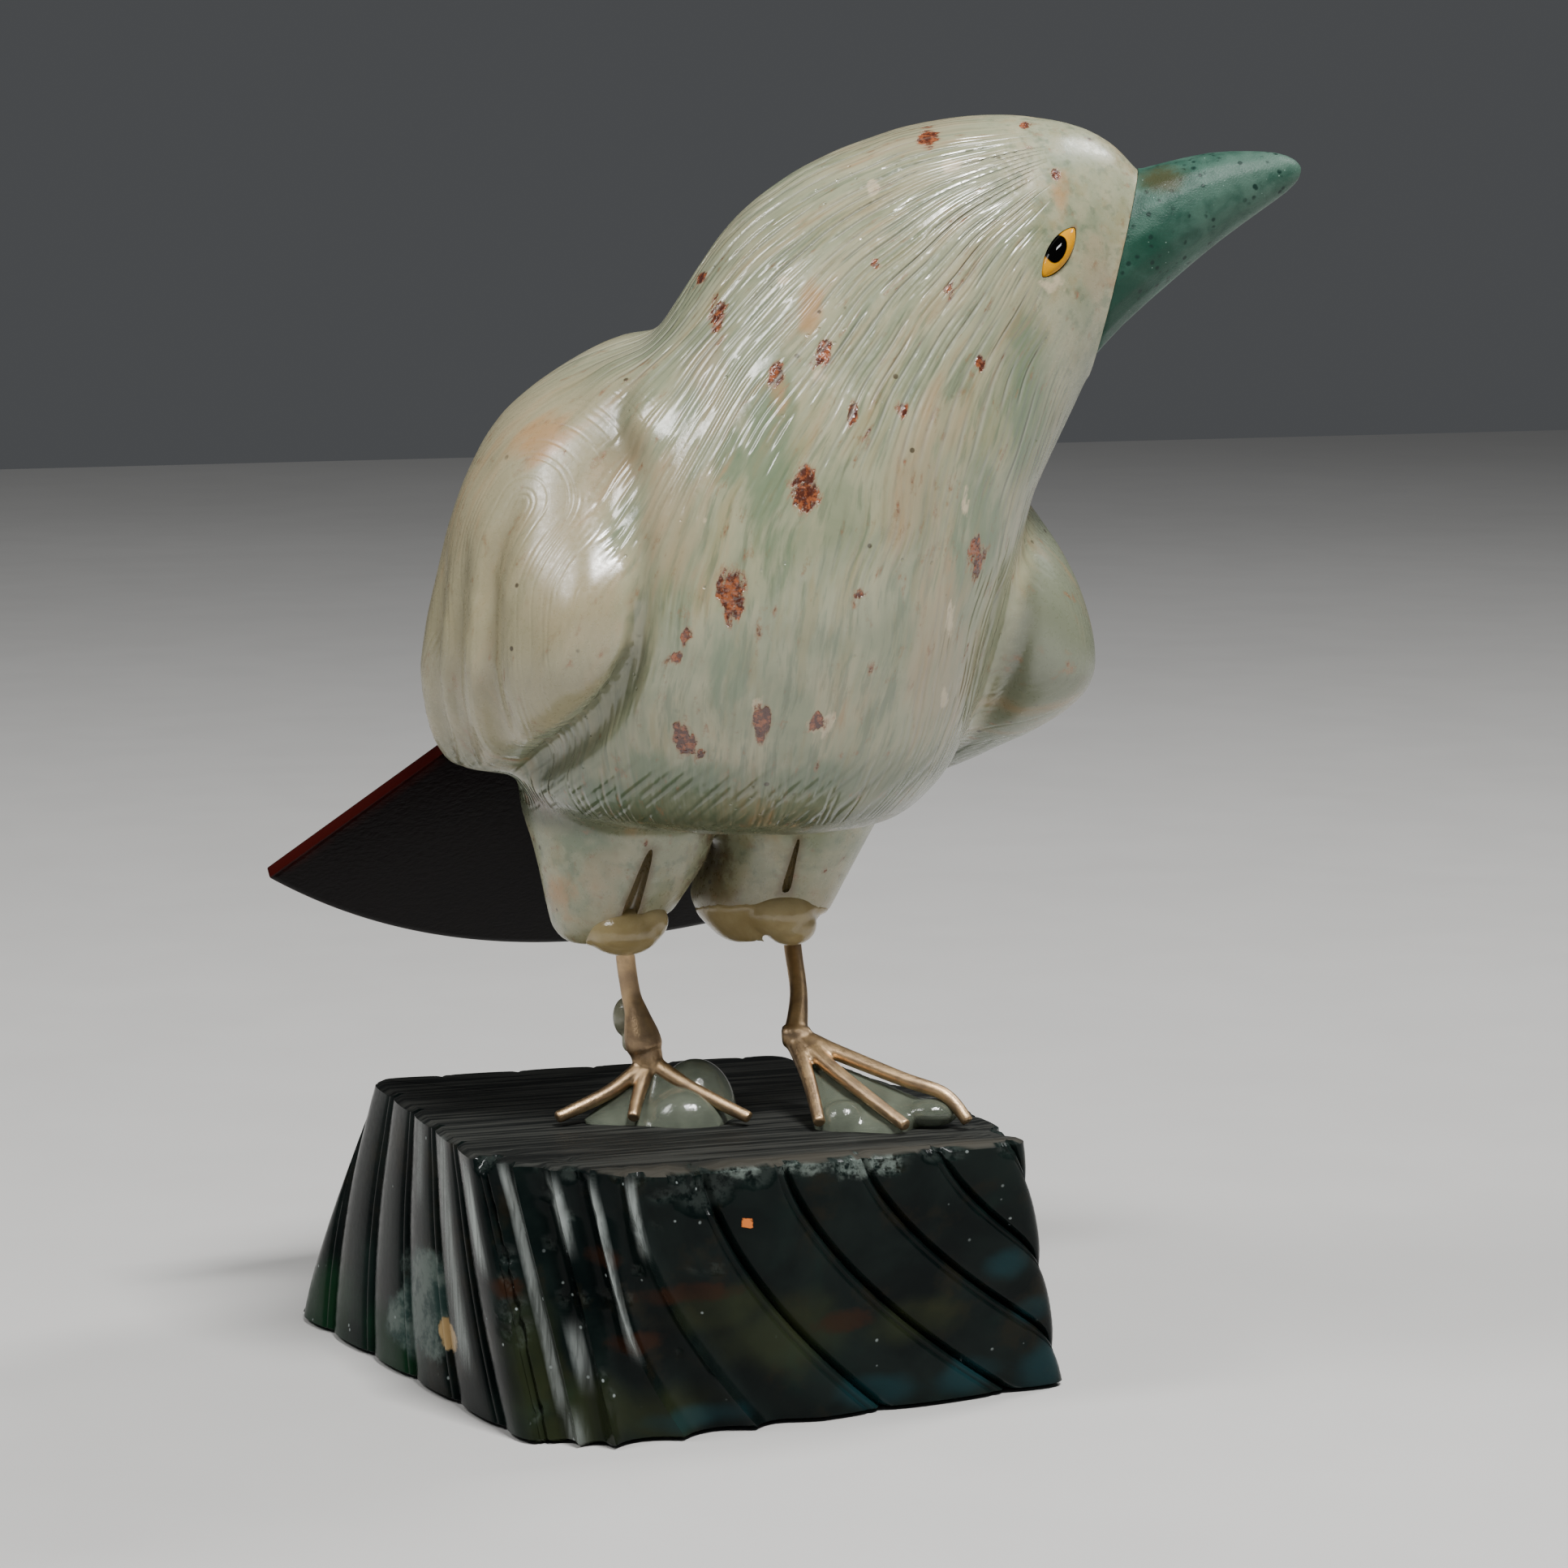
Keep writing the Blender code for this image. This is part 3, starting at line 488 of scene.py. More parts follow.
# %% The way the feather lines run
LINE_AXIS = [(2, 60, -1.5), (4.5, 80, -5.5), (6, 90, -9), (7.5, 100, -10.5), (10.4, 110, -11),
             (15.6, 120, -11), (23, 130, -10.5), (29.8, 137, -10), (38.5, 143, -10), (51, 148, -10),
             (62, 152, -10)]
LINE_RADIUS = 22
LINE_WANDER = 0.9
WANDER_PER_MM = 0.11


def line_map(places):
    """For points in the bird's directions: millimetres round the lines' axis, and along it."""
    axis = eased(LINE_AXIS, 12)
    length = np.concatenate([[0], np.cumsum(np.linalg.norm(np.diff(axis[:, 0:2], axis=0), axis=1))])
    middle_x, middle_y = (np.interp(places[:, 2], axis[:, 1], axis[:, column]) for column in (0, 2))
    angle = np.arctan2(np.abs(places[:, 1] - middle_y), middle_x - places[:, 0])
    drift = np.array([noise_value(Vector(place) * WANDER_PER_MM) for place in places])
    return angle * LINE_RADIUS + drift * LINE_WANDER, np.interp(places[:, 2], axis[:, 1], length)


places = in_bird(points_of(bird))
across, way = line_map(places)
keep_values(bird, "across", across)
keep_values(bird, "way", way)
bird.data.calc_loop_triangles()
print("the stone has", len(bird.data.loop_triangles), "triangles")
print("its lines go round to", round(across.max(), 1), "mm")

# %% [markdown]
# What is ground where depends on the place: open strokes on head and neck, fine close lines on the
# breast, and quite other lines on the wings. Each zone is kept as a number per point: 1 inside, 0
# outside, and a soft edge between, as a hand fades one kind of stroke into the next. The wings are
# what stands out from the trunk, which is thought of as a row of ellipses from belly to beak.

# %% Zones of the carving
TRUNK = [
    (-17.5, 68.6, 20.0, 67.2, 19.5, -1.5), (-21.5, 70.2, 23.5, 68.8, 22.8, -2.3),
    (-24.3, 75.5, 28.6, 74.8, 25.8, -4.5), (-25, 84.0, 31.6, 84.0, 27.5, -7.5),
    (-24, 94.0, 34.0, 93.0, 28.0, -10.0), (-20, 105.0, 36.0, 101.0, 27.0, -11.0),
    (-13, 117.0, 37.2, 106.0, 25.0, -11.5), (-6.0, 125.5, 38.4, 109.0, 23.5, -11.5),
    (-2.5, 131.0, 39.8, 112.0, 22.0, -11.0), (3.0, 138.5, 41.2, 114.8, 20.5, -10.5),
]
WING_STANDS_OUT = (1.02, 1.10)
WING_TOP = (124, 116)
WING_BOTTOM = (66, 72)
THIGH_TOP = (70.5, 68.5)


def stepped(values, start, end):
    """0 before the start, 1 past the end, easing between; it runs backwards if end is less."""
    t = np.clip((values - start) / (end - start), 0, 1)
    return t * t * (3 - 2 * t)


def trunk_reach(places):
    """How far out of the trunk each point lies: 1 on its skin."""
    rows = eased(TRUNK, 8)
    back, front = rows[:, 0:2], rows[:, 2:4]
    side = places[:, [0, 2]]
    line = front - back
    apart = line[:, 0] * (side[:, None, 1] - back[:, 1]) - line[:, 1] * (side[:, None, 0] - back[:, 0])
    row = rows[np.clip((apart > 0).sum(axis=1), 0, len(rows) - 1)]
    centre, half = (row[:, 0:2] + row[:, 2:4]) / 2, (row[:, 2:4] - row[:, 0:2]) / 2
    along = ((side - centre) * half).sum(axis=1) / (half ** 2).sum(axis=1)
    return np.hypot(along, (places[:, 1] - row[:, 5]) / row[:, 4])


def nearest_on(path, points):
    """Each point's distance in mm to a path."""
    line = point_finder(path)
    return np.array([line.find(Vector(point))[2] for point in points]) / MM


height = places[:, 2]
to_chest = np.array([[math.cos(CHEST_TURN), math.sin(CHEST_TURN)],
                     [math.sin(CHEST_TURN), -math.cos(CHEST_TURN)]])
chest = places[:, 0:2] @ to_chest
on_wing = stepped(trunk_reach(places), *WING_STANDS_OUT)
on_wing = on_wing * stepped(height, *WING_TOP) * stepped(height, *WING_BOTTOM)
on_thigh = stepped(height, *THIGH_TOP)
keep_values(bird, "wing", on_wing * (1 - on_thigh))
keep_values(bird, "thigh", on_thigh)
lanes = np.zeros(len(places))
for side in (-1, 1):
    edge = [wing_point(side, *place) for place in eased(WING_GROOVES[0], 40)]
    mine = (chest[:, 0] * side > 5) & (on_wing > 0)
    lanes[mine] = nearest_on(edge, points_of(bird)[mine])
keep_values(bird, "lane", lanes)
print("points on the wings:", int((on_wing > 0.5).sum()))

# %% [markdown]
# Each open stroke is one pass of the wheel: it bites in, runs along its line and lifts out again.
# The strokes lie side by side and end where they will, so a seeded draw gives their lengths. They
# are really pressed into the skin; their finish then only sharpens them. Round the eyes, on the
# forehead, beside the beak and on top of the crown the stone is left smooth. Low on the belly there
# is slanting hatching, whose lines are counted across them.

# %% Open strokes of head and neck
LINES_APART = 1.95
STROKE_DEPTH = 0.2 * MM
STROKE_LENGTHS = (8, 24)
STROKE_GAPS = (0.5, 7)
STROKE_STRENGTHS = (0.55, 1.0)
# Where the strokes begin to fade and where they are full, in millimetres
NECK_EDGE = (110, 124)
CROWN_EDGE = (148.5, 145.5)
FOREHEAD_EDGE = (39, 35)
EYE_EDGE = (4.0, 6.0)
BEAK_EDGE = (-0.6, -3.0)
PLAIN_EDGE = (33, 40)
FOREHEAD_LEVEL = 134
HATCH_SLANT = (0.67, -0.74)

draw = random.Random(5)
lane_number = np.floor(across / LINES_APART) + 100 * (places[:, 1] > -10.5)
strength = np.zeros(len(places))
for number in np.unique(lane_number):
    mine = lane_number == number
    start = draw.uniform(0, 10)
    while start < way.max():
        end = start + draw.uniform(*STROKE_LENGTHS)
        passed = stepped(way[mine], start, start + 2.5) * stepped(way[mine], end, end - 3.5)
        strength[mine] = np.maximum(strength[mine], passed * draw.uniform(*STROKE_STRENGTHS))
        start = end + draw.uniform(*STROKE_GAPS)
zone = stepped(height + 0.25 * places[:, 0], *NECK_EDGE) * (1 - on_wing) * stepped(height, *CROWN_EDGE)
for seat in seats.values():
    zone *= stepped(np.linalg.norm(points_of(bird) - np.array(seat[0]), axis=1) / MM, *EYE_EDGE)
zone *= stepped((points_of(bird) - np.array(SEAT_TOP)) @ np.array(SEAT_OUT) / MM, *BEAK_EDGE)
zone *= stepped(places[:, 0], *FOREHEAD_EDGE)
strength *= zone
plain_forehead = stepped(places[:, 0] + 0.3 * (height - FOREHEAD_LEVEL), *PLAIN_EDGE)
keep_values(bird, "plain", np.maximum(plain_forehead, on_thigh))
keep_values(bird, "stroke", strength)
keep_values(bird, "hatch", HATCH_SLANT[0] * places[:, 0] + HATCH_SLANT[1] * height)
inside = np.abs(across / LINES_APART % 1.0 - 0.5)
pressed = STROKE_DEPTH * strength * (1 - stepped(inside, 0, 0.24))
pressed *= stepped((points_of(bird) - np.array(FINE_FROM)) @ np.array(FINE_SLOPE) / MM, 0, 3)
move_points(bird, points_of(bird) - normals_of(bird) * pressed[:, None])
print("points in a stroke:", int((pressed > 0.3 * STROKE_DEPTH).sum()))

# %% [markdown]
# The stone itself is patchy. Red-brown crystals and cream flecks sit in it, and green and beige
# clouds run down it. Each is given by its place on the bird, its width and its height, in
# millimetres. Painting numbers on the points, not colours, lets the finish break up the edges.

# %% Patches in the stone
PATCHES = {
    "red": [
        (11, -37, 109, 3.2, 5.6), (2.8, -37.9, 97.2, 3.2, 6), (-2.5, -32.9, 80.7, 3, 3.3),
        (-0.7, -32.3, 79, 1.3, 1.3), (-2.2, -36.9, 92.6, 1.3, 1.5), (-3.5, -36.1, 90.2, 1.1, 1.5),
        (30.2, -27, 100.3, 2, 5.6), (16.2, -35, 117, 1.5, 3.1), (13, -32.2, 124.1, 1.7, 3.3),
        (7.6, -32.8, 121.1, 2, 3.1), (1, -24.6, 127.7, 2.2, 3.7), (-1.1, -16.8, 131.5, 2.2, 1.3),
        (24.8, -17.4, 147.3, 2.2, 4.1), (35.7, -15.2, 148.7, 1.1, 1), (39.3, -20.7, 143.2, 1.0, 1.8),
        (18.7, -28.6, 133.5, 1.1, 1.1), (26.8, -29, 130.4, 1.6, 2), (21.7, -33.5, 117.5, 1.2, 2),
        (30.4, -28.9, 122.5, 1.1, 1.7), (17, -36.2, 97.4, 1.2, 1), (6.2, -34.9, 82.8, 2.4, 4.4),
        (12.4, -32.6, 82.6, 1.6, 2.6),
    ],
    "cream": [
        (27.3, -22.1, 144.1, 3.1, 2), (12.9, -32.4, 82.2, 3.1, 3.7), (5.7, -34.8, 84.1, 2, 3.7),
        (28.9, -29.9, 106.9, 1.1, 3.7), (18.5, -22.9, 141.7, 1.5, 2.4), (38.9, -24, 131.2, 4.0, 3.0),
        (-0.3, -36.2, 105.6, 1.3, 1.5), (27.2, -28.2, 93.9, 1.1, 5.6), (26.9, -22.5, 84, 1.1, 3.7),
        (8.4, -27.2, 131.6, 1.9, 1.1), (12.8, -33.6, 121.1, 2.4, 2),
    ],
    "green": [
        (6.7, -35.8, 112.7, 5.6, 24), (8, -34.3, 118, 3.7, 11), (35.9, -24.6, 117.4, 5.6, 18.5),
        (30.8, -27.4, 103.9, 5.6, 15), (2.6, -36.5, 88.5, 5.6, 12), (8, -38.1, 101.3, 4.6, 11),
        (28, -29.2, 99.5, 2.8, 9.3), (35.3, -25.9, 124.8, 2.8, 5.6), (2.6, -34.9, 112.7, 3.7, 7.4),
        (-2.1, -30.2, 75.8, 12, 4.5), (11.7, -28.9, 75.6, 12, 4.5), (-12.4, -24.2, 73.1, 13, 4),
        (35.1, 2.3, 75.7, 13, 4), (-6.6, -29.6, 76.6, 7, 6), (-14.5, -13.0, 66, 8, 5),
    ],
    "beige": [
        (-15.4, -34.6, 100, 11, 28), (26.3, -26.1, 88.2, 11, 24), (21, -11.5, 148.2, 24, 8),
        (-3.7, -35, 105.5, 7.4, 18.5), (23.3, -33.8, 107.2, 7.4, 22), (-10.2, -28.4, 112.2, 11, 11),
        (43.8, -19.8, 132.7, 3.7, 11), (26, -32.1, 116.1, 7.4, 8), (0.8, -30.1, 120.5, 4.6, 15),
        (-12.8, -13.5, 62, 6, 8),
    ],
    "orange": [(-18.9, -24.1, 113.6, 7.4, 6.5), (-14, -30, 118, 5, 4), (11.5, -29.5, 128.5, 2.5, 6),
               (8, -31.5, 119.5, 2, 5), (39.9, -20.7, 141.6, 1.9, 5.2), (-17, -9, 59.8, 5, 5.5)],
    # painted shade: these brown spots lie between and above the thighs
    "brown": [(1.5, -8, 66, 5, 8), (-1, -2, 62, 6, 10), (-22, -14, 70, 8, 4), (0, -3, 57, 7, 5)],
}
PATCH_DEPTH = 1.0


def patch_values(places, spots):
    """How far inside a patch each point lies: 1 at its middle, 0 half its size outside it."""
    inside = np.zeros(len(places))
    for x, y, z, wide, high in spots:
        deep = max(wide, high) / 2 + PATCH_DEPTH
        away = (places - (x, y, z)) / (wide / 2, deep, high / 2)
        inside = np.maximum(inside, 1.5 - np.linalg.norm(away, axis=1))
    return np.clip(inside, 0, 1)


def keep_patches(piece, places, patches):
    for name, spots in patches.items():
        keep_values(piece, name, patch_values(places, spots))
    print("patches:", {name: len(spots) for name, spots in patches.items()})


def slot_stain(places):
    """1 in the thighs' slots, 0 outside, for the brown resin that has run into them."""
    stain = np.zeros(len(places))
    for ends, half_width in slot_lines:
        line = np.clip((places[:, 2] - ends[0, 2]) / (ends[1, 2] - ends[0, 2]), 0, 1)[:, None]
        away = np.abs(places - (ends[0] + (ends[1] - ends[0]) * line))
        half = (1.0 - SLOT_TAPER * line[:, 0]) * half_width
        inside = stepped(away[:, 0], half + 0.6, half) * stepped(away[:, 1], 4, 3) * stepped(away[:, 2], 1, 0)
        stain = np.maximum(stain, inside)
    return stain


keep_patches(bird, places, PATCHES)
keep_values(bird, "stain", slot_stain(places))

# %% [markdown]
# The beak is a separate green stone, glued on with a fine seam. It is drawn out behind the seam,
# rubbed, and sawn flat again, as its maker would fit it.

# %% The beak
SEAM = 0.05 * MM
BEAK_DRAWN_OUT = 2.5 * MM
BEAK_PATCHES = {
    "brown": [(51.2, -15.5, 143.2, 6.5, 4.6)],
    "dark": [(46, -15, 127.5, 9, 14), (50, -16, 134.5, 7, 6)],
}
PALE_FROM = (50, 66)

beak = node_copy("beak", "green_beak")
select(beak, "FACE", lambda face: face.normal.dot(SEAT_OUT) < -0.99)
bpy.ops.mesh.extrude_region_move(TRANSFORM_OT_translate={"value": -SEAT_OUT * BEAK_DRAWN_OUT})
close_edit()
one_skin(beak, 0.3 * MM, 8)
cut_flat(beak, SEAT_TOP + SEAT_OUT * SEAM, -SEAT_OUT)
smooth(beak, 50)
beak_places = in_bird(points_of(beak))
keep_patches(beak, beak_places, BEAK_PATCHES)
keep_values(beak, "tip", stepped(beak_places[:, 0], *PALE_FROM))
print("the beak has", len(beak.data.polygons), "faces")

# %% [markdown]
# The tail is a fan-shaped slab, thin enough to glow at its edges. A grid is shaped to the fan,
# given its thickness by Solidify and finely bevelled, as a lapidary breaks a sharp edge. Numbers on
# its points tell the finish where its edges are, which of them look back, and where it is thin.

# %% The tail
TAIL_THICKNESS = 1.6
TAIL_SLOPE = 0.9
TAIL_ROLL = -0.1
TAIL_LEVEL = 90.0
TAIL_ROOT = (21.5, -13.0)
TAIL_CORNER = (40.0, -40.0)
TAIL_END = -50.0
TAIL_BEVEL = 0.25 * MM

bpy.ops.object.select_all(action="DESELECT")
bpy.ops.mesh.primitive_grid_add(x_subdivisions=96, y_subdivisions=48, size=2)
tail = bpy.context.active_object
tail.name = tail.data.name = "tail_slab"
shares = points_of(tail)
across, down = shares[:, 0], (1 - shares[:, 1]) / 2
half = TAIL_ROOT[0] + (TAIL_CORNER[0] - TAIL_ROOT[0]) * down
bow = (TAIL_END - TAIL_CORNER[1]) * (1 - across ** 2) * down
ahead = TAIL_ROOT[1] + (TAIL_CORNER[1] - TAIL_ROOT[1]) * down + bow
left = half * across
level = TAIL_LEVEL + TAIL_SLOPE * ahead + TAIL_ROLL * left
move_points(tail, np.array([chest_point(*place) for place in zip(left, ahead, level)]))
apply(tail, "SOLIDIFY", thickness=TAIL_THICKNESS * MM, offset=0)
face_outwards(tail)
apply(tail, "BEVEL", width=TAIL_BEVEL, segments=2, limit_method="ANGLE", angle_limit=math.radians(50))
smooth(tail, 35)
down_slab = chest_point(0, -1, -TAIL_SLOPE) - chest_point(0, 0, 0)
slab = np.array(chest_step(1, 1, 0).cross(down_slab).normalized())
facing = normals_of(tail)
keep_values(tail, "edge", stepped(np.abs(facing @ slab), 0.95, 0.6))
keep_values(tail, "backward", stepped(facing @ np.array(chest_step(1, 0, -1)), 0.3, 0.6))
spread = in_bird(points_of(tail))[:, 0:2] @ to_chest
down = (spread[:, 1] - TAIL_ROOT[1]) / (TAIL_CORNER[1] - TAIL_ROOT[1])
from_side = TAIL_ROOT[0] + (TAIL_CORNER[0] - TAIL_ROOT[0]) * down - np.abs(spread[:, 0])
thin = stepped(from_side, 2.0, 0.3) * stepped(down, 0.05, 0.35) * stepped(down, 1.05, 0.85)
keep_values(tail, "thin", thin)
print("the tail has", len(tail.data.polygons), "faces")

# %% [markdown]
# The legs are gilt wire, soldered at the ankle and hammered flat where the toes part. Each wire is
# a curve with its own thickness at every point; the curves become one skin, so that the solder
# flows from wire to wire.

# %% The wire legs
TOE_SLIMNESS = 0.9
ANKLE_LEVEL = 40
LEG_PATHS = {
    "right": [
        [(-10.0, -5.0, 59.5, 1.1), (-10.3, -5.0, 53.5, 1.15), (-10.2, -5.0, 50.5, 1.18),
         (-9.6, -5.2, 46.5, 1.2), (-9.0, -5.5, 44.5, 1.45), (-8.3, -5.8, 41.5, 2.2), (-7.7, -6.0, 39.2, 2.1),
         (-7.4, -6.0, 37.6, 1.8)],
        [(-7.6, -6.0, 38.6, 1.2), (-12.0, -9.0, 35.6, 1.0), (-18.2, -12.3, 33.1, 0.85)],
        [(-7.4, -6.0, 38.4, 1.2), (-8.6, -9.4, 35.4, 0.95), (-9.2, -12.5, 33.1, 0.85)],
        [(-7.4, -6.0, 38.6, 1.3), (-2.4, -9.0, 36.0, 1.0), (4.5, -12.3, 33.1, 0.85)],
    ],
    "left": [
        [(9.6, 5.0, 59.5, 1.1), (9.6, 5.0, 53.5, 1.1), (9.6, 4.6, 50.5, 1.1), (10.3, 1.0, 45.5, 1.1),
         (9.9, -3.0, 41.0, 1.5)],
        [(8.4, -3.0, 41.1, 1.3), (9.8, -3.2, 41.2, 1.5), (11.6, -3.2, 41.0, 1.2)],
        [(9.6, -3.0, 40.8, 1.2), (11.4, -9.0, 37.2, 1.0), (12.7, -15.3, 33.1, 0.85)],
        [(10.2, -3.2, 40.8, 1.2), (15.6, -10.0, 37.4, 1.0), (22.8, -17.0, 33.1, 0.85)],
        [(10.8, -3.2, 40.8, 1.2), (22.0, -10.5, 37.6, 1.0), (27.4, -12.8, 36.0, 0.95),
         (30.1, -14.6, 33.1, 0.85)],
    ],
}


def wire(path):
    """A round wire along the path, its thickness given at every point."""
    curve = bpy.data.curves.new("wire", "CURVE")
    curve.dimensions = "3D"
    curve.bevel_depth = MM
    curve.bevel_resolution = 5
    curve.use_fill_caps = True
    points = eased(path, 6)
    spline = curve.splines.new("POLY")
    spline.points.add(len(points) - 1)
    for point, (x, y, z, radius) in zip(spline.points, points):
        point.co = (*bird_point(x, y, z), 1)
        point.radius = radius * (TOE_SLIMNESS if z < ANKLE_LEVEL else 1)
    piece = placed("wire", curve)
    only(piece)
    bpy.ops.object.convert(target="MESH")
    return piece


legs = {}
for name, paths in LEG_PATHS.items():
    leg = join("wire_leg_" + name, *[wire(path) for path in paths])
    one_skin(leg, 0.24 * MM, 5)
    smooth(leg, 60)
    legs[name] = leg
print("leg faces:", [len(leg.data.polygons) for leg in legs.values()])

# %% [markdown]
# Clear resin holds the wires: it fills the broken end of each thigh, hangs as a drop behind one
# ankle and lies in a pool round the toes of each foot. The end of a thigh is copied where the resin
# covers it, so that it lies on the stone like a coat, and beads of it stand out of the front. Resin
# finds its own smooth surface, so all its shapes are melted into one skin.

# %% The resin
SOAKED = {
    "right": ((-9.9, -9.0, 53.0), (5.0, 9.5, 4.3)),
    "left": ((5.8, 0.0, 52.6), (11.2, 10.4, 4.7)),
}
RUNS = {
    "right": [(-10.4, 55.1, (4.4, 4.5, 3.0), 1.3), (-7.6, 56.0, (2.4, 3.0, 2.3), 1.2)],
    "left": [(7.8, 55.8, (4.3, 4.5, 3.0), 1.3), (9.3, 54.0, (3.0, 3.6, 2.3), 0.8)],
}
BEAD_LEVEL = 56.5
COAT = 0.2 * MM
# The stone round the resin has drunk some of it: so many times as wide and as high
SOAKED_SPREAD = (2.4, 2.6)
ANKLE_DROP = [((-10.3, -2.9, 43.4), (1.6, 1.7, 2.4)), ((-10.0, -3.6, 40.6), (0.8, 0.9, 1.3))]
POOL_GAP = 0.02 * MM
# Between the toes the resin hangs like a tent: these points hold it up and out
FOOT_TENTS = {
    "right": [(-7.6, -5.6, 38.6), (-6.6, -7.2, 38.2), (-15.4, -10.6, 32.6), (-14.0, -11.2, 31),
              (-8.8, -11.3, 32.4), (1.6, -11.6, 32.6), (-8.0, -12.6, 31), (0.0, -12.8, 31), (-11, -5.0, 31),
              (0, -3.5, 31), (-15.0, -9.0, 31)],
    "left": [(9.8, -3.2, 39.8), (11.4, -3.6, 39.4), (12.2, -13.6, 32.8), (12.4, -14.6, 31),
             (21.4, -15.8, 32.8), (21.6, -16.8, 31), (21.4, -10.0, 36.4), (12.0, -4.4, 31), (20.0, -6.0, 31),
             (25.0, -10.5, 31), (25.2, -11.4, 35.2)],
}
FOOT_BALLS = {
    "right": [((-2.0, -5.6, 32.0), (5.0, 5.0, 6.9)), ((-3.2, -9.4, 31.2), (5.2, 3.8, 4.8))],
    "left": [((26.0, -12.2, 33.8), (3.2, 2.4, 1.7)), ((15.6, -12.6, 31.4), (3.4, 2.6, 4.0))],
}


def bead(x, z, radii, bulge):
    """A ball of resin that stands so far out of the thigh's front."""
    front = in_bird(np.array(front_at(x, BEAD_LEVEL)))
    return ball((x, front[1] + radii[1] - bulge, z), radii)


def tent(points):
    """The tight skin over some points."""
    mesh = bpy.data.meshes.new("tent")
    mesh.from_pydata([bird_point(*p) for p in points], [], [])
    piece = placed("tent", mesh)
    select(piece, "VERT", lambda vert: True)
    bpy.ops.mesh.convex_hull()
    close_edit()
    return piece


def resin(name, shapes, size, rubs, level=None):
    """Shapes melted into one, and cut flat where they lie on a level."""
    piece = join(name, *shapes)
    one_skin(piece, size, rubs)
    if level is not None:
        cut_flat(piece, (0, 0, level), (0, 0, -1))
    smooth(piece, 60)
    return piece


collars = {}
for name, sizes in SOAKED.items():
    only(bird)
    bpy.ops.object.duplicate()
    end = bpy.context.active_object
    cut_flat(end, bird_point(0, 0, 62), (0, 0, 1))
    soaked = ball(*sizes)
    apply(end, "BOOLEAN", object=soaked, operation="INTERSECT", solver="EXACT")
    bpy.data.objects.remove(soaked)
    collars[name] = resin("resin_collar_" + name, [*[bead(*run) for run in RUNS[name]], end], 0.3 * MM, 14)
    move_points(collars[name], points_of(collars[name]) + normals_of(collars[name]) * COAT)
wider, higher = SOAKED_SPREAD
soaked_spots = [(*centre, wider * wide, higher * high) for centre, (wide, _, high) in SOAKED.values()]
keep_values(bird, "soaked", patch_values(in_bird(points_of(bird)), soaked_spots))
ankle_drop = resin("resin_drop", [ball(*sizes) for sizes in ANKLE_DROP], 0.2 * MM, 6)
pools = {}
for name, points in FOOT_TENTS.items():
    shapes = [tent(points), *[ball(*sizes) for sizes in FOOT_BALLS[name]]]
    pools[name] = resin("resin_pool_" + name, shapes, 0.3 * MM, 20, BLOCK_TOP + POOL_GAP)
print("pool faces:", [len(pool.data.polygons) for pool in pools.values()])

# %% [markdown]
# The block is dark, glassy stone. Its sides carry flutes that sweep down and round it. A grid is
# wrapped round the block, one column after another, so that every flute keeps its crisp groove. At
# the front left corner the flutes give way to hollow scoops with sharp ridges between them.

# %% The fluted block
BLOCK_HEIGHT = BLOCK_TOP / MM
BLOCK_CORNERS = {
    "left_front": ((-33.5, -24), (-30, -30)),
    "front_left": ((-19, -38.5), (-21, -36.5)),
    "front_right": ((30, -36.5), (38.5, -28)),
    "right_side": ((30.5, -8), (40, -12)),
    "back_right": ((20.5, 23), (31, 32)),
    "back_left": ((-32.5, 25.5), (-40, 38)),
}
CORNER_ROUNDING = 5.5
EDGE_ROUNDING = 0.8
FLUTES = 24
FLUTE_DEPTH = 2.0
# Where the mesh's columns stand across one flute: close together at its groove and its fine line
FLUTE_COLUMNS = [0, 0.013, 0.027, 0.042, 0.06, 0.085, 0.13, 0.19, 0.26, 0.34, 0.42, 0.5, 0.58, 0.66, 0.74,
                 0.8, 0.84, 0.855, 0.87, 0.885, 0.9, 0.92, 0.94, 0.958, 0.973, 0.987]
# Painted highlight stripes on the frosted stone by the left corner: share of the way round, half
# width, strength, top and bottom level
FROST_AND_HIGHLIGHT_STRIPES = [(-0.104, 0.009, 0.25, 33, 23), (-0.0625, 0.009, 0.55, 33, 7), (-0.021, 0.008, 1.0, 31, 20),
         (0.012, 0.004, 0.7, 32, 5), (0.040, 0.0055, 0.6, 31, 24), (0.0625, 0.003, 0.6, 31, 12),
         (0.084, 0.004, 0.6, 31.5, 24), (0.030, 0.006, 0.5, 14, 8), (0.018, 0.008, 0.4, 4.5, 0)]
# How far sideways a flute has run at the foot of each corner, in millimetres
FLUTE_RUN = {
    "left_front": 5,
    "front_left": 17,
    "front_right": 38,
    "right_side": 36,
    "back_right": 22,
    "back_left": 8,
}
# The groove's half width, and the fine line's place and half width, in shares of a flute
GROOVE_WIDTH = 0.036
FINE_LINE = (0.87, 0.02)
# How far the band's crown falls, the groove bites and the fine line bites, in shares of FLUTE_DEPTH
BAND_DEPTHS = (0.42, 0.5, 0.1)
COLUMNS = FLUTES * len(FLUTE_COLUMNS)
LEVELS = 76
OUTLINE = 720
# The scoops lie between these shares of the way round, and ease into the flutes over this one
SHARP_CORNER = (0.015, 0.085)
CORNER_EASE = 0.025
# The flat top is closed by rings, each so much smaller than the one before
TOP_RINGS = (0.98, 0.97, 0.96, 0.94, 0.9, 0.82)


def corner_shares():
    """How far round the block's top each corner is, from 0 to 1, and the whole way round."""
    tops = [Vector(top) for top, _ in BLOCK_CORNERS.values()]
    lengths = [(tops[(i + 1) % len(tops)] - p).length for i, p in enumerate(tops)]
    return [sum(lengths[:i]) / sum(lengths) for i in range(len(tops))], sum(lengths)


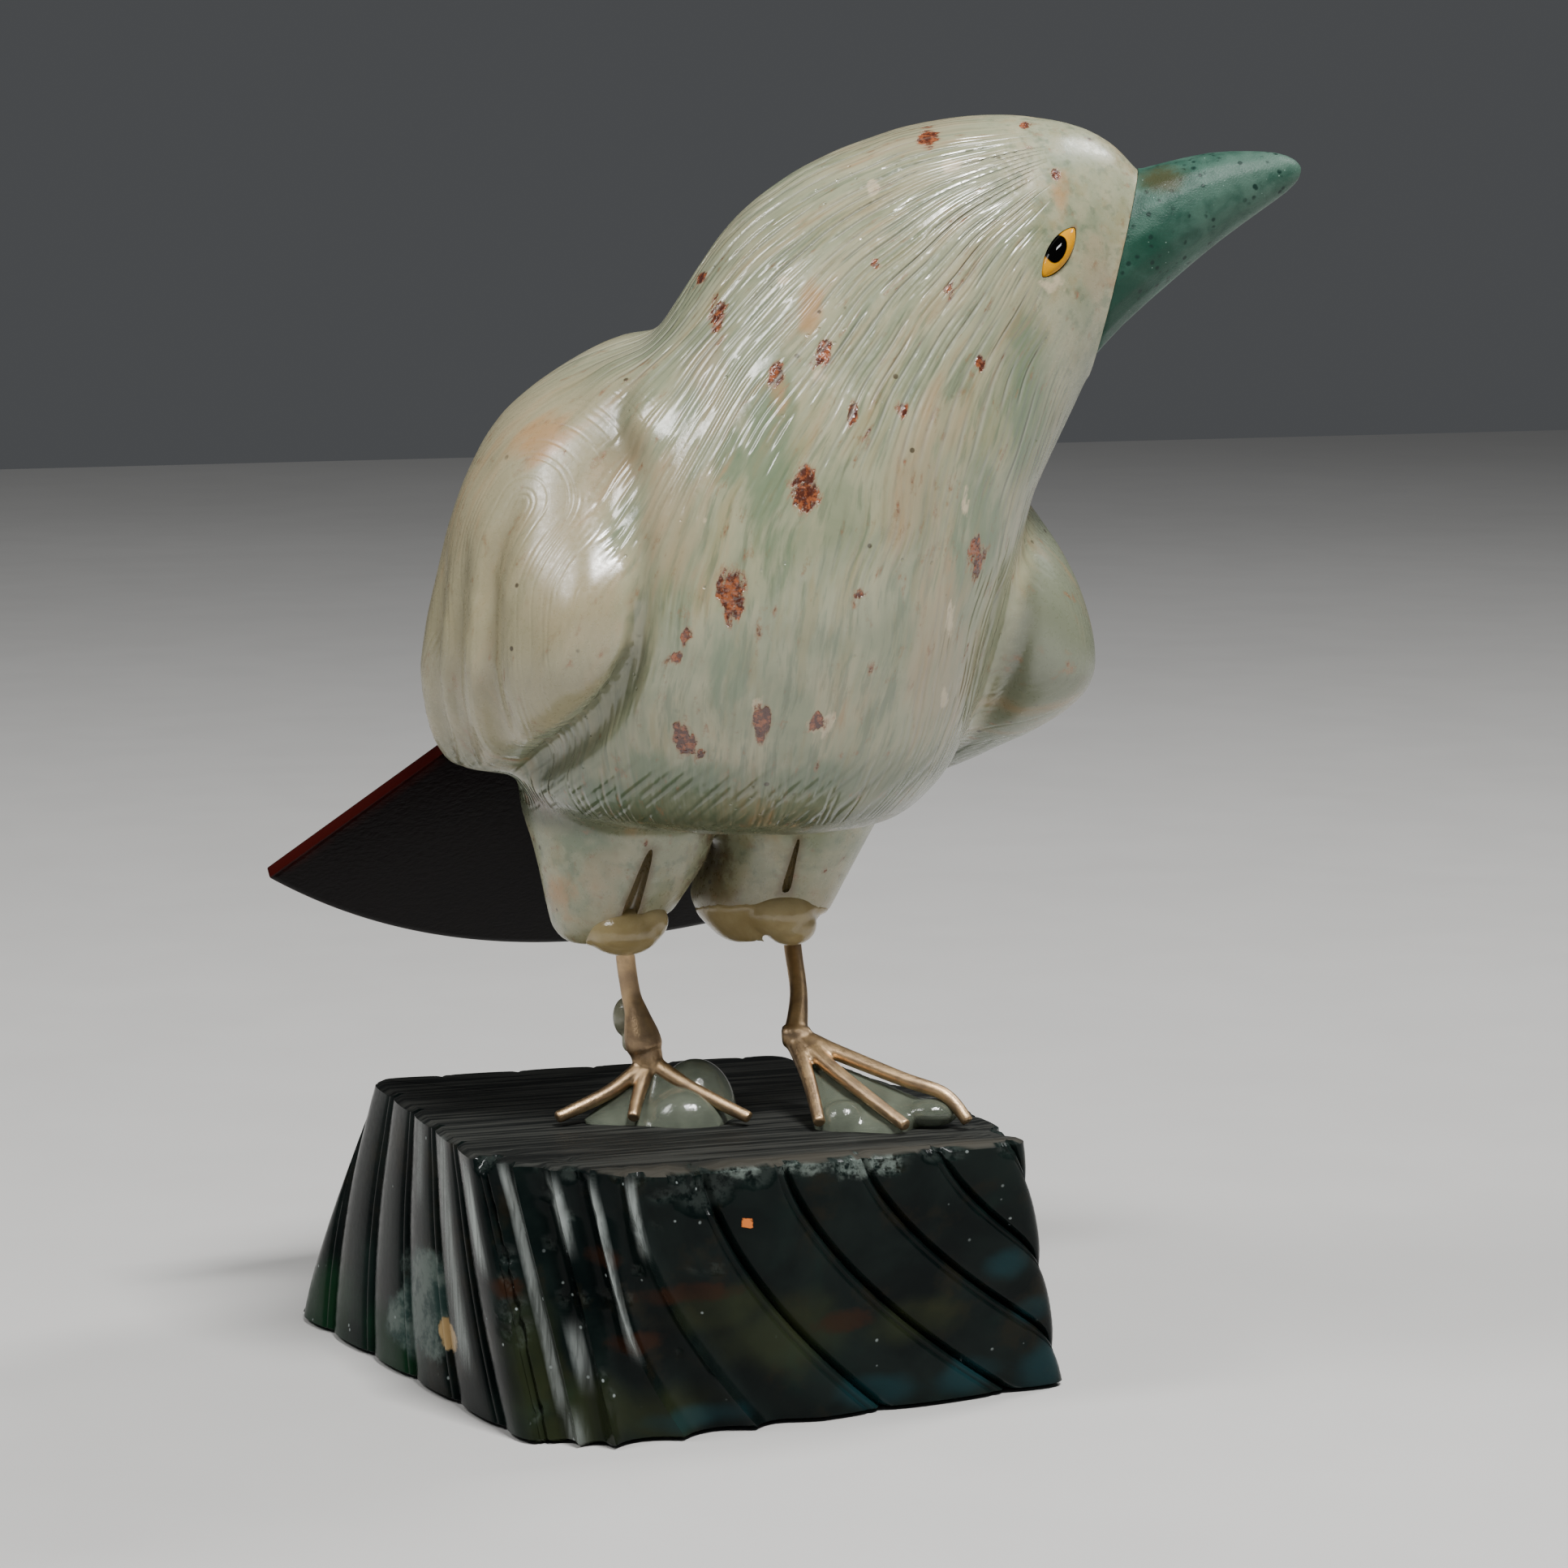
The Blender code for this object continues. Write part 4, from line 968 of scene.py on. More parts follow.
def block_outline(drop):
    """The rounded outline at a share of the way down, with its outward normals."""
    shares, total = corner_shares()
    corners = [Vector(top).lerp(Vector(foot), drop) for top, foot in BLOCK_CORNERS.values()]
    closed = np.array([*corners, corners[0]])
    at = np.arange(OUTLINE) / OUTLINE
    line = np.stack([np.interp(at, [*shares, 1.0], closed[:, axis]) for axis in (0, 1)], axis=1)
    reach = int(OUTLINE * CORNER_ROUNDING / total)
    weights = np.hanning(2 * reach + 3)[1:-1]
    weights /= weights.sum()
    padded = np.concatenate([line[-reach:], line, line[:reach]])
    rounded = np.stack([np.convolve(padded[:, axis], weights, "valid") for axis in (0, 1)], axis=1)
    ahead = np.roll(rounded, -1, axis=0) - np.roll(rounded, 1, axis=0)
    normals = np.stack([ahead[:, 1], -ahead[:, 0]], axis=1)
    return rounded, normals / np.linalg.norm(normals, axis=1)[:, None]


def block_ring(drop, z, inset, fluting):
    """Points round the block at one level. Each column follows its flute down and sideways."""
    shares, total = corner_shares()
    rounded, normals = block_outline(drop)
    runs = [FLUTE_RUN[name] for name in BLOCK_CORNERS]
    share = np.tile(FLUTE_COLUMNS, FLUTES)
    start = (np.arange(COLUMNS) // len(FLUTE_COLUMNS) + share) / FLUTES
    run = np.interp(start, [*shares, 1.0], [*runs, runs[0]])
    at = (start + run * drop ** 1.4 / total) % 1.0 * OUTLINE
    low = at.astype(int) % OUTLINE
    mix = (at - at.astype(int))[:, None]
    place = rounded[low] * (1 - mix) + rounded[(low + 1) % OUTLINE] * mix
    low_end, high_end = SHARP_CORNER
    from_corner = (start + 0.5) % 1.0 - 0.5
    sharp = stepped(from_corner, low_end - CORNER_EASE, low_end)
    sharp = sharp * stepped(from_corner, high_end + CORNER_EASE, high_end)
    stand = band_profile(share) * (1 - sharp) + scoop_profile(share) * sharp
    place = place + normals[low] * (stand * FLUTE_DEPTH * fluting - inset)[:, None]
    return np.column_stack([place, np.full(COLUMNS, z)]) * MM


def band_profile(share):
    """Across one flute: a broad, gently rounded band, a fine line along it, and a narrow deep groove."""
    crown = -np.abs(2 * share - 1) ** 2.6
    deep = np.exp(-(np.minimum(share, 1 - share) / GROOVE_WIDTH) ** 2)
    line = np.exp(-((share - FINE_LINE[0]) / FINE_LINE[1]) ** 2)
    return BAND_DEPTHS[0] * crown - BAND_DEPTHS[1] * deep - BAND_DEPTHS[2] * line


def scoop_profile(share):
    """Across one flute at the front left corner: two hollow scoops that meet in sharp ridges."""
    part = (2 * share) % 1.0
    return -0.95 * np.sin(np.pi * part) ** 0.8 - 0.05


def fluting_at(drop):
    return min(1.0, 0.55 + 2.5 * drop)


bpy.ops.object.select_all(action="DESELECT")
bpy.ops.mesh.primitive_cylinder_add(vertices=COLUMNS, radius=1, depth=2, end_fill_type="NGON")
block = bpy.context.active_object
block.name = block.data.name = "fluted_block"
select(block, "EDGE", lambda edge: abs(edge.verts[0].co.z - edge.verts[1].co.z) > 1)
bpy.ops.mesh.subdivide(number_cuts=LEVELS - 1)
close_edit()
grid = points_of(block)
columns = np.round((np.arctan2(grid[:, 0], grid[:, 1]) / math.tau) % 1.0 * COLUMNS).astype(int) % COLUMNS
rows = np.round((1 - grid[:, 2]) / 2 * LEVELS).astype(int)
for row in range(LEVELS + 1):
    drop = row / LEVELS
    rounding = EDGE_ROUNDING * max(0, 1 - 2.0 * min(row, LEVELS - row)) ** 2
    z = BLOCK_HEIGHT * (1 - drop)
    ring = block_ring(drop, z, rounding, fluting_at(drop))
    here = rows == row
    grid[here] = ring[(-columns[here]) % COLUMNS]
move_points(block, grid)
order = (-columns) % COLUMNS
start = (order // len(FLUTE_COLUMNS) + np.array(FLUTE_COLUMNS)[order % len(FLUTE_COLUMNS)]) / FLUTES
# painted highlight stripes on the frosted hollows; the same numbers make them rougher and bumpier
frost_and_highlight = np.zeros(len(grid))
for share, wide, strong, high, low in FROST_AND_HIGHLIGHT_STRIPES:
    stripe = stepped(np.abs((start - share + 0.5) % 1.0 - 0.5), wide, 0.3 * wide) * strong
    stripe *= stepped(grid[:, 2] / MM, low - 3, low + 2) * stepped(grid[:, 2] / MM, high + 1, high - 3)
    frost_and_highlight = np.maximum(frost_and_highlight, stripe)
keep_values(block, "frost_and_highlight", frost_and_highlight)
select(block, "FACE", lambda face: face.normal.z > 0.9 and len(face.verts) > 100)
for shrink in TOP_RINGS:
    bpy.ops.mesh.extrude_region_move()
    bpy.ops.transform.resize(value=(shrink, shrink, 1))
close_edit()
print("the block has", len(block.data.polygons), "faces")

# %% [markdown]
# The stone is brittle. Along its top front edge and on the ridges of its front left corner small
# shells of stone have broken out. Each chip is a scoop: points inside a ball are pushed to its
# inner side. The places come from a seeded draw, so they are the same at every run.

# %% Chips of the block
draw = random.Random(11)
# How many chips, and how large: small ones along the edge and smaller ones on the ridges
EDGE_CHIPS = (46, (0.7, 1.8))
RIDGE_CHIPS = (42, (0.5, 1.3))
CHIP_DEPTH = 0.45
BIG_CHIP_DEPTH = 0.42
BIG_CHIPS = [((-10.5, -37.6, 31.0), 4.6), ((-4.0, -37.8, 31.6), 2.6), ((7.0, -37.8, 32.2), 2.4),
             ((12.5, -37.4, 32.0), 3.0), ((18.0, -37.0, 32.3), 2.2), ((29.5, -31.0, 32.0), 2.6)]


def scoop(points, centre, radius, deepest):
    """Pushes the points inside a ball inwards, and gives how fresh the break is at every point."""
    away = points - centre
    distance = np.linalg.norm(away, axis=1)
    inside = distance < radius
    inward = np.array([-centre[0], -centre[1], -0.4 * abs(centre[2])])
    inward /= np.linalg.norm(inward)
    push = (1 - (distance[inside] / radius) ** 2) * deepest
    points[inside] += push[:, None] * inward
    return stepped(distance, radius, 0.6 * radius)


grid = points_of(block)
# Small chips break out of the top's front edge, and of the ridges on the front left corner
rim = grid[(grid[:, 2] > BLOCK_TOP - 1.2 * MM) & (grid[:, 1] < -20 * MM)]
edge = rim[np.linalg.norm(rim[:, 0:2], axis=1) > 36 * MM]
corner = grid[(grid[:, 0] < -8 * MM) & (grid[:, 1] < -26 * MM) & (grid[:, 2] < BLOCK_TOP - 2 * MM)]
fresh = np.zeros(len(grid))
for centre, radius in BIG_CHIPS:
    fresh = np.maximum(fresh, scoop(grid, np.array(centre) * MM, radius * MM, BIG_CHIP_DEPTH * radius * MM))
for source, (count, sizes) in ((edge, EDGE_CHIPS), (corner, RIDGE_CHIPS)):
    for _ in range(count):
        radius = draw.uniform(*sizes) * MM
        broken = scoop(grid, source[draw.randrange(len(source))].copy(), radius, CHIP_DEPTH * radius)
        fresh = np.maximum(fresh, broken)
move_points(block, grid)
keep_values(block, "fresh", fresh)
face_outwards(block)
smooth(block, 34)
print("chips:", len(BIG_CHIPS) + EDGE_CHIPS[0] + RIDGE_CHIPS[0])

# %% [markdown]
# The dark stone isn't even either: a pale lump of quartz shows at its left end, rust has crept into
# a few cracks, and thin parts at the foot let a teal or olive light through. These are numbers on
# the points again.

# %% Patches in the block
BLOCK_PATCHES = {
    "quartz": [(-33.8, -3, 10.5, 13, 13), (-34.2, 3, 6.5, 9, 7)],
    "tan": [(-32.6, -9.5, 8, 2.4, 4.6)],
    "rust": [(-12, -36, 17.4, 14, 2.6), (-22, -35.4, 22, 5, 3), (-30.3, -26, 17.4, 4, 3),
             (-18, -35, 12, 7, 3), (8, -34, 12, 8, 3)],
    "orange": [(-5.1, -36.9, 25.2, 1.3, 1.3)],
    "olive": [(-22.2, -34.7, 4, 12, 8), (-28.2, -28.4, 9, 6, 15), (-25.4, -33.2, 1.2, 10, 5),
              (-14, -35.7, 3, 14, 8), (-0.4, -34.6, 11.6, 16, 9), (-8, -35, 15, 15, 6), (17, -33, 11, 12, 7)],
    "teal": [(24.6, -29.9, 3.2, 8, 4), (35.1, -28.6, 2.5, 7, 6), (12.6, -30.3, 2.6, 10, 4),
             (-9.9, -34.9, 2.2, 12, 3), (28.5, -32.9, 16.8, 6, 4), (32.8, -30.1, 10.6, 5, 4),
             (31, -30, 27, 4, 5)],
    "deep_green": [(-38, 28, 3, 16, 13), (-36, 6, 3, 14, 10)],
    "bruised": [(-6, -37.3, 31.4, 7, 2.4), (1.5, -37.4, 31.2, 8, 2.6), (8.5, -37, 30.6, 9, 3.6),
                (12.5, -36.8, 30.6, 4, 4)],
}
keep_patches(block, points_of(block) / MM, BLOCK_PATCHES)

# %% [markdown]
# A finish is a small circuit of nodes. Most of it is plain arithmetic on places and noise, so short
# helpers add a node, do a sum, ease a value and mix two colours. They all work in the tree that was
# opened last. Everything that is the same all over a surface is set on the shader itself.

# %% Helpers for finishes
def add(kind, inputs=None, **settings):
    """Adds one node to the open tree, with its options, and its inputs set or wired."""
    node = tree.nodes.new("ShaderNode" + kind)
    for name, value in settings.items():
        setattr(node, name, value)
    for key, value in (inputs or {}).items():
        if isinstance(value, bpy.types.NodeSocket):
            tree.links.new(value, node.inputs[key])
        else:
            node.inputs[key].default_value = value
    return node


def calc(what, *values):
    return add("Math", dict(enumerate(values)), operation=what).outputs[0]


def plus(first, second):
    return calc("ADD", first, second)


def minus(first, second):
    return calc("SUBTRACT", first, second)


def times(first, *others):
    for other in others:
        first = calc("MULTIPLY", first, other)
    return first


def span(value, low, high, to_low=0.0, to_high=1.0):
    """Eases a value from low to high into a new range."""
    inputs = {0: value, 1: low, 2: high, 3: to_low, 4: to_high}
    return add("MapRange", inputs, interpolation_type="SMOOTHSTEP").outputs[0]


def mixed(share, first, second):
    """A colour between two, each a socket or plain red, green and blue."""
    colours = [c if isinstance(c, bpy.types.NodeSocket) else (*c, 1) for c in (first, second)]
    return add("Mix", {0: share, 6: colours[0], 7: colours[1]}, data_type="RGBA").outputs[2]


def noise(scale, detail=2.0, rough=0.5, turn=0.0, at=None):
    """Cloudy noise from 0 to 1, on the piece's own places if it is given no others."""
    inputs = {"Vector": place if at is None else at, "Scale": scale, "Detail": detail}
    return add("TexNoise", {**inputs, "Roughness": rough, "Distortion": turn}).outputs["Fac"]


def dots(scale, reach, core, cloud, low, high):
    """Round dots, 1 in their core and 0 past their reach, only where a cloud is dense."""
    apart = add("TexVoronoi", {"Vector": place, "Scale": scale}).outputs["Distance"]
    return times(span(apart, reach, core), span(cloud, low, high))


def value_of(name):
    return add("Attribute", attribute_name=name).outputs["Fac"]


def patch(name, low, high, edge):
    """A patch from the numbers on the points, its edge broken up by noise."""
    return span(plus(value_of(name), edge), low, high)


def stretched(vector, x, y, z):
    return add("Mapping", {"Vector": vector, "Scale": (x, y, z)}).outputs[0]


def tinted(colour, layers):
    """Lays tints over a colour, each with its strength, the places it lies on and its own colour."""
    for strength, mask, tint in layers.values():
        colour = mixed(mask if strength == 1 else times(mask, strength), colour, tint)
    return colour


def new_finish(name, **plain):
    """Opens a new material, and sets the values that are the same all over it."""
    global tree, shader, place
    finish = bpy.data.materials.new(name)
    finish.use_nodes = True
    tree = finish.node_tree
    shader = tree.nodes["Principled BSDF"]
    place = add("TexCoord").outputs["Object"]
    for socket, value in plain.items():
        shader.inputs[socket.replace("_", " ")].default_value = value
    return finish


def connect(colour, rough, height=None, depth=0.0):
    """Wires up the shader of the open finish. A height of 1 is relief of that depth in metres."""
    tree.links.new(colour, shader.inputs["Base Color"])
    tree.links.new(rough, shader.inputs["Roughness"])
    if height is not None:
        made = add("Bump", {"Height": height, "Strength": 1.0, "Distance": depth})
        tree.links.new(made.outputs[0], shader.inputs["Normal"])


print("finish helpers are ready")

# %% [markdown]
# Several stones share two effects: a cloudy mix of fine and coarse grain, and ground lines with
# uneven strokes. Each is a node group, so that every stone can use it at its own scale.

# %% Shared effects
def group(name, inputs, outputs):
    """Opens an empty node group with named number or vector inputs and number outputs."""
    global tree
    tree = bpy.data.node_groups.new(name, "ShaderNodeTree")
    for socket, (kind, value) in inputs.items():
        plug = tree.interface.new_socket(socket, in_out="INPUT", socket_type="NodeSocket" + kind)
        if value is not None:
            plug.default_value = value
    for socket in outputs:
        tree.interface.new_socket(socket, in_out="OUTPUT", socket_type="NodeSocketFloat")
    return tree, tree.nodes.new("NodeGroupInput").outputs, tree.nodes.new("NodeGroupOutput").inputs


def use(made, **inputs):
    """Places a group in the open finish and gives its outputs."""
    return add("Group", inputs, node_tree=made).outputs


def grainy(clouds, smoothest, roughest):
    """A roughness that changes with the stone's grain."""
    return span(clouds["Grain"], 0.3, 0.7, smoothest, roughest)


CLOUDS, given, result = group("stone_clouds", {"Place": ("Vector", None), "Size": ("Float", 0.006)},
                              ["Cloud", "Grain"])
scale = calc("DIVIDE", 1.0, given["Size"])
tree.links.new(span(noise(scale, 5.0, 0.55, 0.4, given["Place"]), 0.3, 0.7), result["Cloud"])
tree.links.new(noise(times(scale, 14.0), 3.0, 0.6, at=given["Place"]), result["Grain"])

STROKES, given, result = group("ground_strokes", {
    "Across": ("Float", 0.0), "Along": ("Float", 0.0), "Length": ("Float", 14.0), "Width": ("Float", 0.3),
    "Wander": ("Float", 0.4),
}, ["Cut"])
slow = add("CombineXYZ", {"X": times(given["Across"], 0.35), "Y": times(given["Along"], 0.09)}).outputs[0]
drift = times(minus(noise(1.0, 2.0, at=slow), 0.5), given["Wander"])
lane = plus(given["Across"], drift)
number = calc("FLOOR", lane)
run = plus(calc("DIVIDE", given["Along"], given["Length"]), times(number, 0.37))
where = add("CombineXYZ", {"X": times(number, 7.31), "Y": run}).outputs[0]
stroke = span(noise(1.0, 1.0, at=where), 0.42, 0.56)
from_middle = calc("ABSOLUTE", minus(calc("FRACT", lane), 0.5))
tree.links.new(times(minus(1.0, span(from_middle, 0.0, given["Width"])), stroke), result["Cut"])
print("effects:", [made.name for made in bpy.data.node_groups])

# %% [markdown]
# The bird's stone is a pale sage green, highly polished. Beige and green clouds stretch along the
# body, red-brown crystals break the surface, and the ground lines catch the light one by one. The
# clouds come from noise drawn out along the lines, by the two numbers kept on every point: how far
# across the lines it lies, and how far along them. Forehead and thighs have plain clouds, because
# no lines are ground there. The tints lie one over another, as a painter glazes: each row below has
# its strength, the places it lies on and its colour.

# %% The bird's stone: its colours
SAGE = new_finish("sage_stone", IOR=1.55, Specular_IOR_Level=0.8)
across, way, wing, thigh, stroke, plain = map(value_of, ("across", "way", "wing", "thigh", "stroke", "plain"))
x, y, z = add("SeparateXYZ", {0: place}).outputs
along_lines = add("CombineXYZ", {"X": across, "Y": way, "Z": times(y, 60.0)}).outputs[0]
clouds = use(CLOUDS, Place=place, Size=0.009)


def streaks(wide, long):
    """Cloudy streaks along the lines, their width and length in mm; plain clouds where none run."""
    drawn = noise(1.0, 4.0, 0.6, at=stretched(along_lines, 1 / wide, 1 / long, 1))
    return add("Mix", {0: plain, 2: drawn, 3: noise(500 / wide, 4.0, 0.6)}).outputs[0]


def centred(value, size):
    """Noise moved to lie evenly about 0, and made larger."""
    return times(minus(value, 0.5), size)


broad = streaks(3.4, 20)
rugged = plus(centred(streaks(0.9, 3.5), 2.2), centred(noise(430, 4.0, 0.7), 1.5))
soft = plus(centred(broad, 2.6), centred(streaks(1.1, 6), 1.6))
not_thigh = minus(1.0, thigh)
# a band low on the belly: it is painted darker there as shade, and the hatching lies in it
belly_edge = times(span(z, 0.080, 0.0735), not_thigh)
# a band just above the thighs, where the crease gets painted shade
crease = times(span(z, 0.0655, 0.0685), span(z, 0.0725, 0.0695))
red = patch("red", 0.5, 0.75, rugged)
crystal = mixed(span(noise(1100, 3.0, 0.7), 0.42, 0.62), (0.07, 0.016, 0.008), (0.30, 0.088, 0.032))
colour = tinted(mixed(clouds["Cloud"], (0.22, 0.245, 0.15), (0.32, 0.325, 0.21)), {
    "beige veil": (0.5, span(broad, 0.42, 0.6), (0.42, 0.38, 0.24)),
    "olive streaks": (0.4, span(streaks(2.2, 16), 0.52, 0.66), (0.25, 0.21, 0.09)),
    "fine green streaks": (0.5, span(streaks(0.8, 7), 0.5, 0.66), (0.10, 0.14, 0.085)),
    "green clouds": (0.75, patch("green", 0.3, 1.0, soft), (0.135, 0.19, 0.11)),
    "beige clouds": (0.6, patch("beige", 0.3, 1.1, soft), (0.35, 0.285, 0.175)),
    "warm wings": (0.65, wing, (0.33, 0.275, 0.16)),
    "green far wing": (0.85, times(wing, span(x, 0.018, 0.028)), (0.15, 0.175, 0.12)),
    "painted shade on the belly's lower edge": (0.55, belly_edge, (0.06, 0.09, 0.05)),
    "painted shade in the crease over the thighs": (0.7, crease, (0.03, 0.04, 0.015)),
    "orange clouds": (0.6, patch("orange", 0.1, 1.2, soft), (0.42, 0.20, 0.07)),
    "painted shade round the thighs": (0.85, patch("brown", 0.15, 1.0, rugged), (0.085, 0.05, 0.016)),
    "resin in the stone": (0.75, value_of("soaked"), (0.29, 0.24, 0.125)),
    "resin in the slots": (0.85, value_of("stain"), (0.12, 0.078, 0.022)),
    # painted shade, darker where the grooves are deeper
    "painted shade in the grooves": (0.4, value_of("sunk"), (0.08, 0.075, 0.045)),
    "cream flecks": (1, patch("cream", 0.5, 0.95, rugged), (0.52, 0.44, 0.29)),
    "rust round the crystals": (0.8, patch("red", 0.25, 0.7, rugged), (0.30, 0.17, 0.09)),
    "red-brown crystals": (1, red, crystal),
    "dark specks": (0.85, dots(260, 0.10, 0.06, noise(60, 1.0), 0.5, 0.58), (0.05, 0.035, 0.02)),
})
print("the stone's colours take", len(tree.nodes), "nodes")

# %% [markdown]
# The relief of the stone is what is too fine for its mesh: close lines on the breast, slanting
# hatching low on the belly, faint contour lines on the wings and bright nicks between them. It also
# sharpens the open strokes, whose lanes are those that the mesh has. A cut is painted darker than the
# skin beside it, as shade, and a painted highlight makes each open stroke pale.

# %% The bird's stone: its ground lines
beside = calc("ABSOLUTE", minus(calc("FRACT", calc("DIVIDE", across, LINES_APART)), 0.5))
open_cut = times(minus(1.0, span(beside, 0.0, 0.2)), stroke)
close = use(STROKES, Across=calc("DIVIDE", across, 0.85), Along=way, Length=9.0, Width=0.42, Wander=0.8)
hatch = use(STROKES, Across=calc("DIVIDE", value_of("hatch"), 1.2), Along=across, Length=5.0, Width=0.4,
            Wander=0.5)
contour = use(STROKES, Across=times(value_of("lane"), 1.3), Along=way, Length=12.0, Width=0.45, Wander=1.2)
nicks = dots(620, 0.16, 0.05, noise(120, 2.0), 0.52, 0.62)
carved = times(minus(1.0, wing), not_thigh, minus(1.0, plain))
cuts = open_cut
for cut, mask, amount in ((close["Cut"], carved, 0.42), (hatch["Cut"], belly_edge, 0.45),
                          (contour["Cut"], wing, 0.14), (nicks, carved, 0.6)):
    cuts = plus(cuts, times(cut, mask, amount))
relief = minus(minus(times(clouds["Grain"], 0.07), cuts), times(red, noise(1800, 2.0)))
colour = tinted(colour, {
    "shade in every cut": (0.18, cuts, (0.10, 0.11, 0.065)),
    # painted shade in the hatching lines of the belly's lower band
    "painted green shade in the hatching": (0.35, times(hatch["Cut"], belly_edge), (0.03, 0.05, 0.02)),
    "painted highlight in the open strokes": (0.3, open_cut, (0.60, 0.60, 0.52)),
})
connect(colour, plus(grainy(clouds, 0.13, 0.26), times(plus(wing, plain), 0.12)), relief, 0.0002)
print("with its lines it takes", len(tree.nodes), "nodes")

# %% [markdown]
# The beak is aventurine, a green stone full of dark specks, with pale grains of mica painted on as
# glints. Toward its lower base it is darker, toward its tip it is paler, and a brown patch lies at the
# top of its base.

# %% The beak's stone
GREEN = new_finish("green_aventurine", Specular_IOR_Level=0.2)
clouds = use(CLOUDS, Place=place, Size=0.003)
rugged = minus(noise(500, 3.0, 0.7), 0.5)
paling = times(value_of("tip"), span(clouds["Cloud"], -0.4, 0.8))
colour = tinted(mixed(clouds["Cloud"], (0.016, 0.058, 0.040), (0.046, 0.108, 0.080)), {
    "pale tip": (0.8, paling, (0.068, 0.125, 0.095)),
    "dark base": (0.8, patch("dark", 0.1, 1.0, rugged), (0.008, 0.05, 0.03)),
    "dark specks": (1, dots(900, 0.36, 0.18, noise(420, 1.0), 0.48, 0.58), (0.006, 0.028, 0.02)),
    "brown patch": (0.8, patch("brown", 0.2, 1.0, rugged), (0.05, 0.045, 0.015)),
    "mica_glints": (0.6, dots(1500, 0.14, 0.06, noise(200, 2.0), 0.5, 0.6), (0.35, 0.5, 0.42)),
})
connect(colour, grainy(clouds, 0.34, 0.5), clouds["Grain"], 0.00006)
print(GREEN.name, "takes", len(tree.nodes), "nodes")

# %% [markdown]
# The block is a nearly black, glassy stone with depth: green, brown and teal show faintly under its
# polish, and pale grains of mica are painted on as glints, most of all at its left front corner. Its
# bruised edge is pale, the hollows of the left corner are still frosted from the wheel and carry
# painted highlights, and the top is left as it was sawn, brown and streaked.

# %% The block's stone
DARK = new_finish("dark_glassy_stone", IOR=1.42, Specular_IOR_Level=0.1)
x, y, z = add("SeparateXYZ", {0: place}).outputs
up = add("SeparateXYZ", {0: add("NewGeometry").outputs["Normal"]}).outputs[2]
top = times(span(up, 0.8, 0.95), span(z, 0.031, 0.0316))
corner = times(span(x, -0.004, -0.020), span(y, -0.018, -0.026))
clouds = use(CLOUDS, Place=place, Size=0.012)
rugged = plus(times(noise(320, 4.0, 0.7), 1.3), -0.65)
soft = plus(times(noise(90, 3.0, 0.6), 1.6), -0.8)
# pale dots painted on as glints of mica
mica_glints = dots(420, 0.11, 0.05, plus(noise(110, 2.0), times(corner, 0.12)), 0.54, 0.6)
bruised = calc("MAXIMUM", times(value_of("fresh"), 0.15), patch("bruised", 0.55, 1.1, rugged))
bruised = times(bruised, span(noise(800, 3.0, 0.7), 0.38, 0.6))
wheel = noise(1.0, 3.0, 0.7, at=stretched(place, 900, 900, 60))
# the frosted hollows: pale stone with painted highlight stripes, rougher and with more relief
frost_and_highlight = times(value_of("frost_and_highlight"), span(wheel, 0.32, 0.62, 0.35, 1.0))
saw = noise(1.0, 4.0, 0.65, at=stretched(place, 40, 900, 40))
sawn = tinted(mixed(span(saw, 0.4, 0.62), (0.010, 0.011, 0.0105), (0.040, 0.041, 0.037)), {
    "worn front rim": (0.6, span(y, -0.0325, -0.0355), (0.066, 0.060, 0.048)),
})
quartz = mixed(span(noise(260, 4.0, 0.7), 0.4, 0.62), (0.022, 0.045, 0.040), (0.10, 0.13, 0.115))
colour = tinted(mixed(clouds["Cloud"], (0.0018, 0.0036, 0.0036), (0.007, 0.012, 0.0105)), {
    "brown depth": (0.5, span(noise(140, 4.0, 0.65), 0.52, 0.68), (0.016, 0.013, 0.007)),
    "olive light": (0.55, patch("olive", 0.2, 1.2, soft), (0.030, 0.036, 0.014)),
    "teal light": (0.45, patch("teal", 0.1, 1.1, soft), (0.010, 0.050, 0.060)),
    "rust": (0.6, patch("rust", 0.35, 0.95, rugged), (0.03, 0.011, 0.005)),
    "green foot": (0.8, patch("deep_green", 0.1, 1.1, soft), (0.006, 0.030, 0.012)),
    "orange grain": (1, patch("orange", 0.4, 0.6, rugged), (0.75, 0.2, 0.04)),
    "quartz lump": (0.9, patch("quartz", 0.3, 0.75, rugged), quartz),
    "tan lump": (1, patch("tan", 0.45, 0.7, rugged), (0.38, 0.26, 0.12)),
    "bruised edge": (1, bruised, (0.12, 0.145, 0.13)),
    "mica_glints": (0.75, mica_glints, (0.30, 0.34, 0.33)),
    "painted highlights on the frosted hollows": (1, frost_and_highlight, (0.42, 0.46, 0.44)),
    "sawn top": (1, top, sawn),
})
rough = calc("MAXIMUM", plus(grainy(clouds, 0.12, 0.24), times(frost_and_highlight, 0.35)), times(top, 0.58))
relief = plus(times(clouds["Grain"], 0.2), times(mica_glints, 0.5))
relief = plus(plus(relief, times(saw, top, 0.8)), times(frost_and_highlight, wheel))
connect(colour, rough, relief, 0.00008)
print(DARK.name, "takes", len(tree.nodes), "nodes")

# %% [markdown]
# The eye is amber glass with a dark rim. Its black pupil stands more upright than the almond, and
# the stone behind cuts it off. The eye's own map, in millimetres from its middle, lets an ellipse be
# measured on it: up along the almond, and backwards across it.

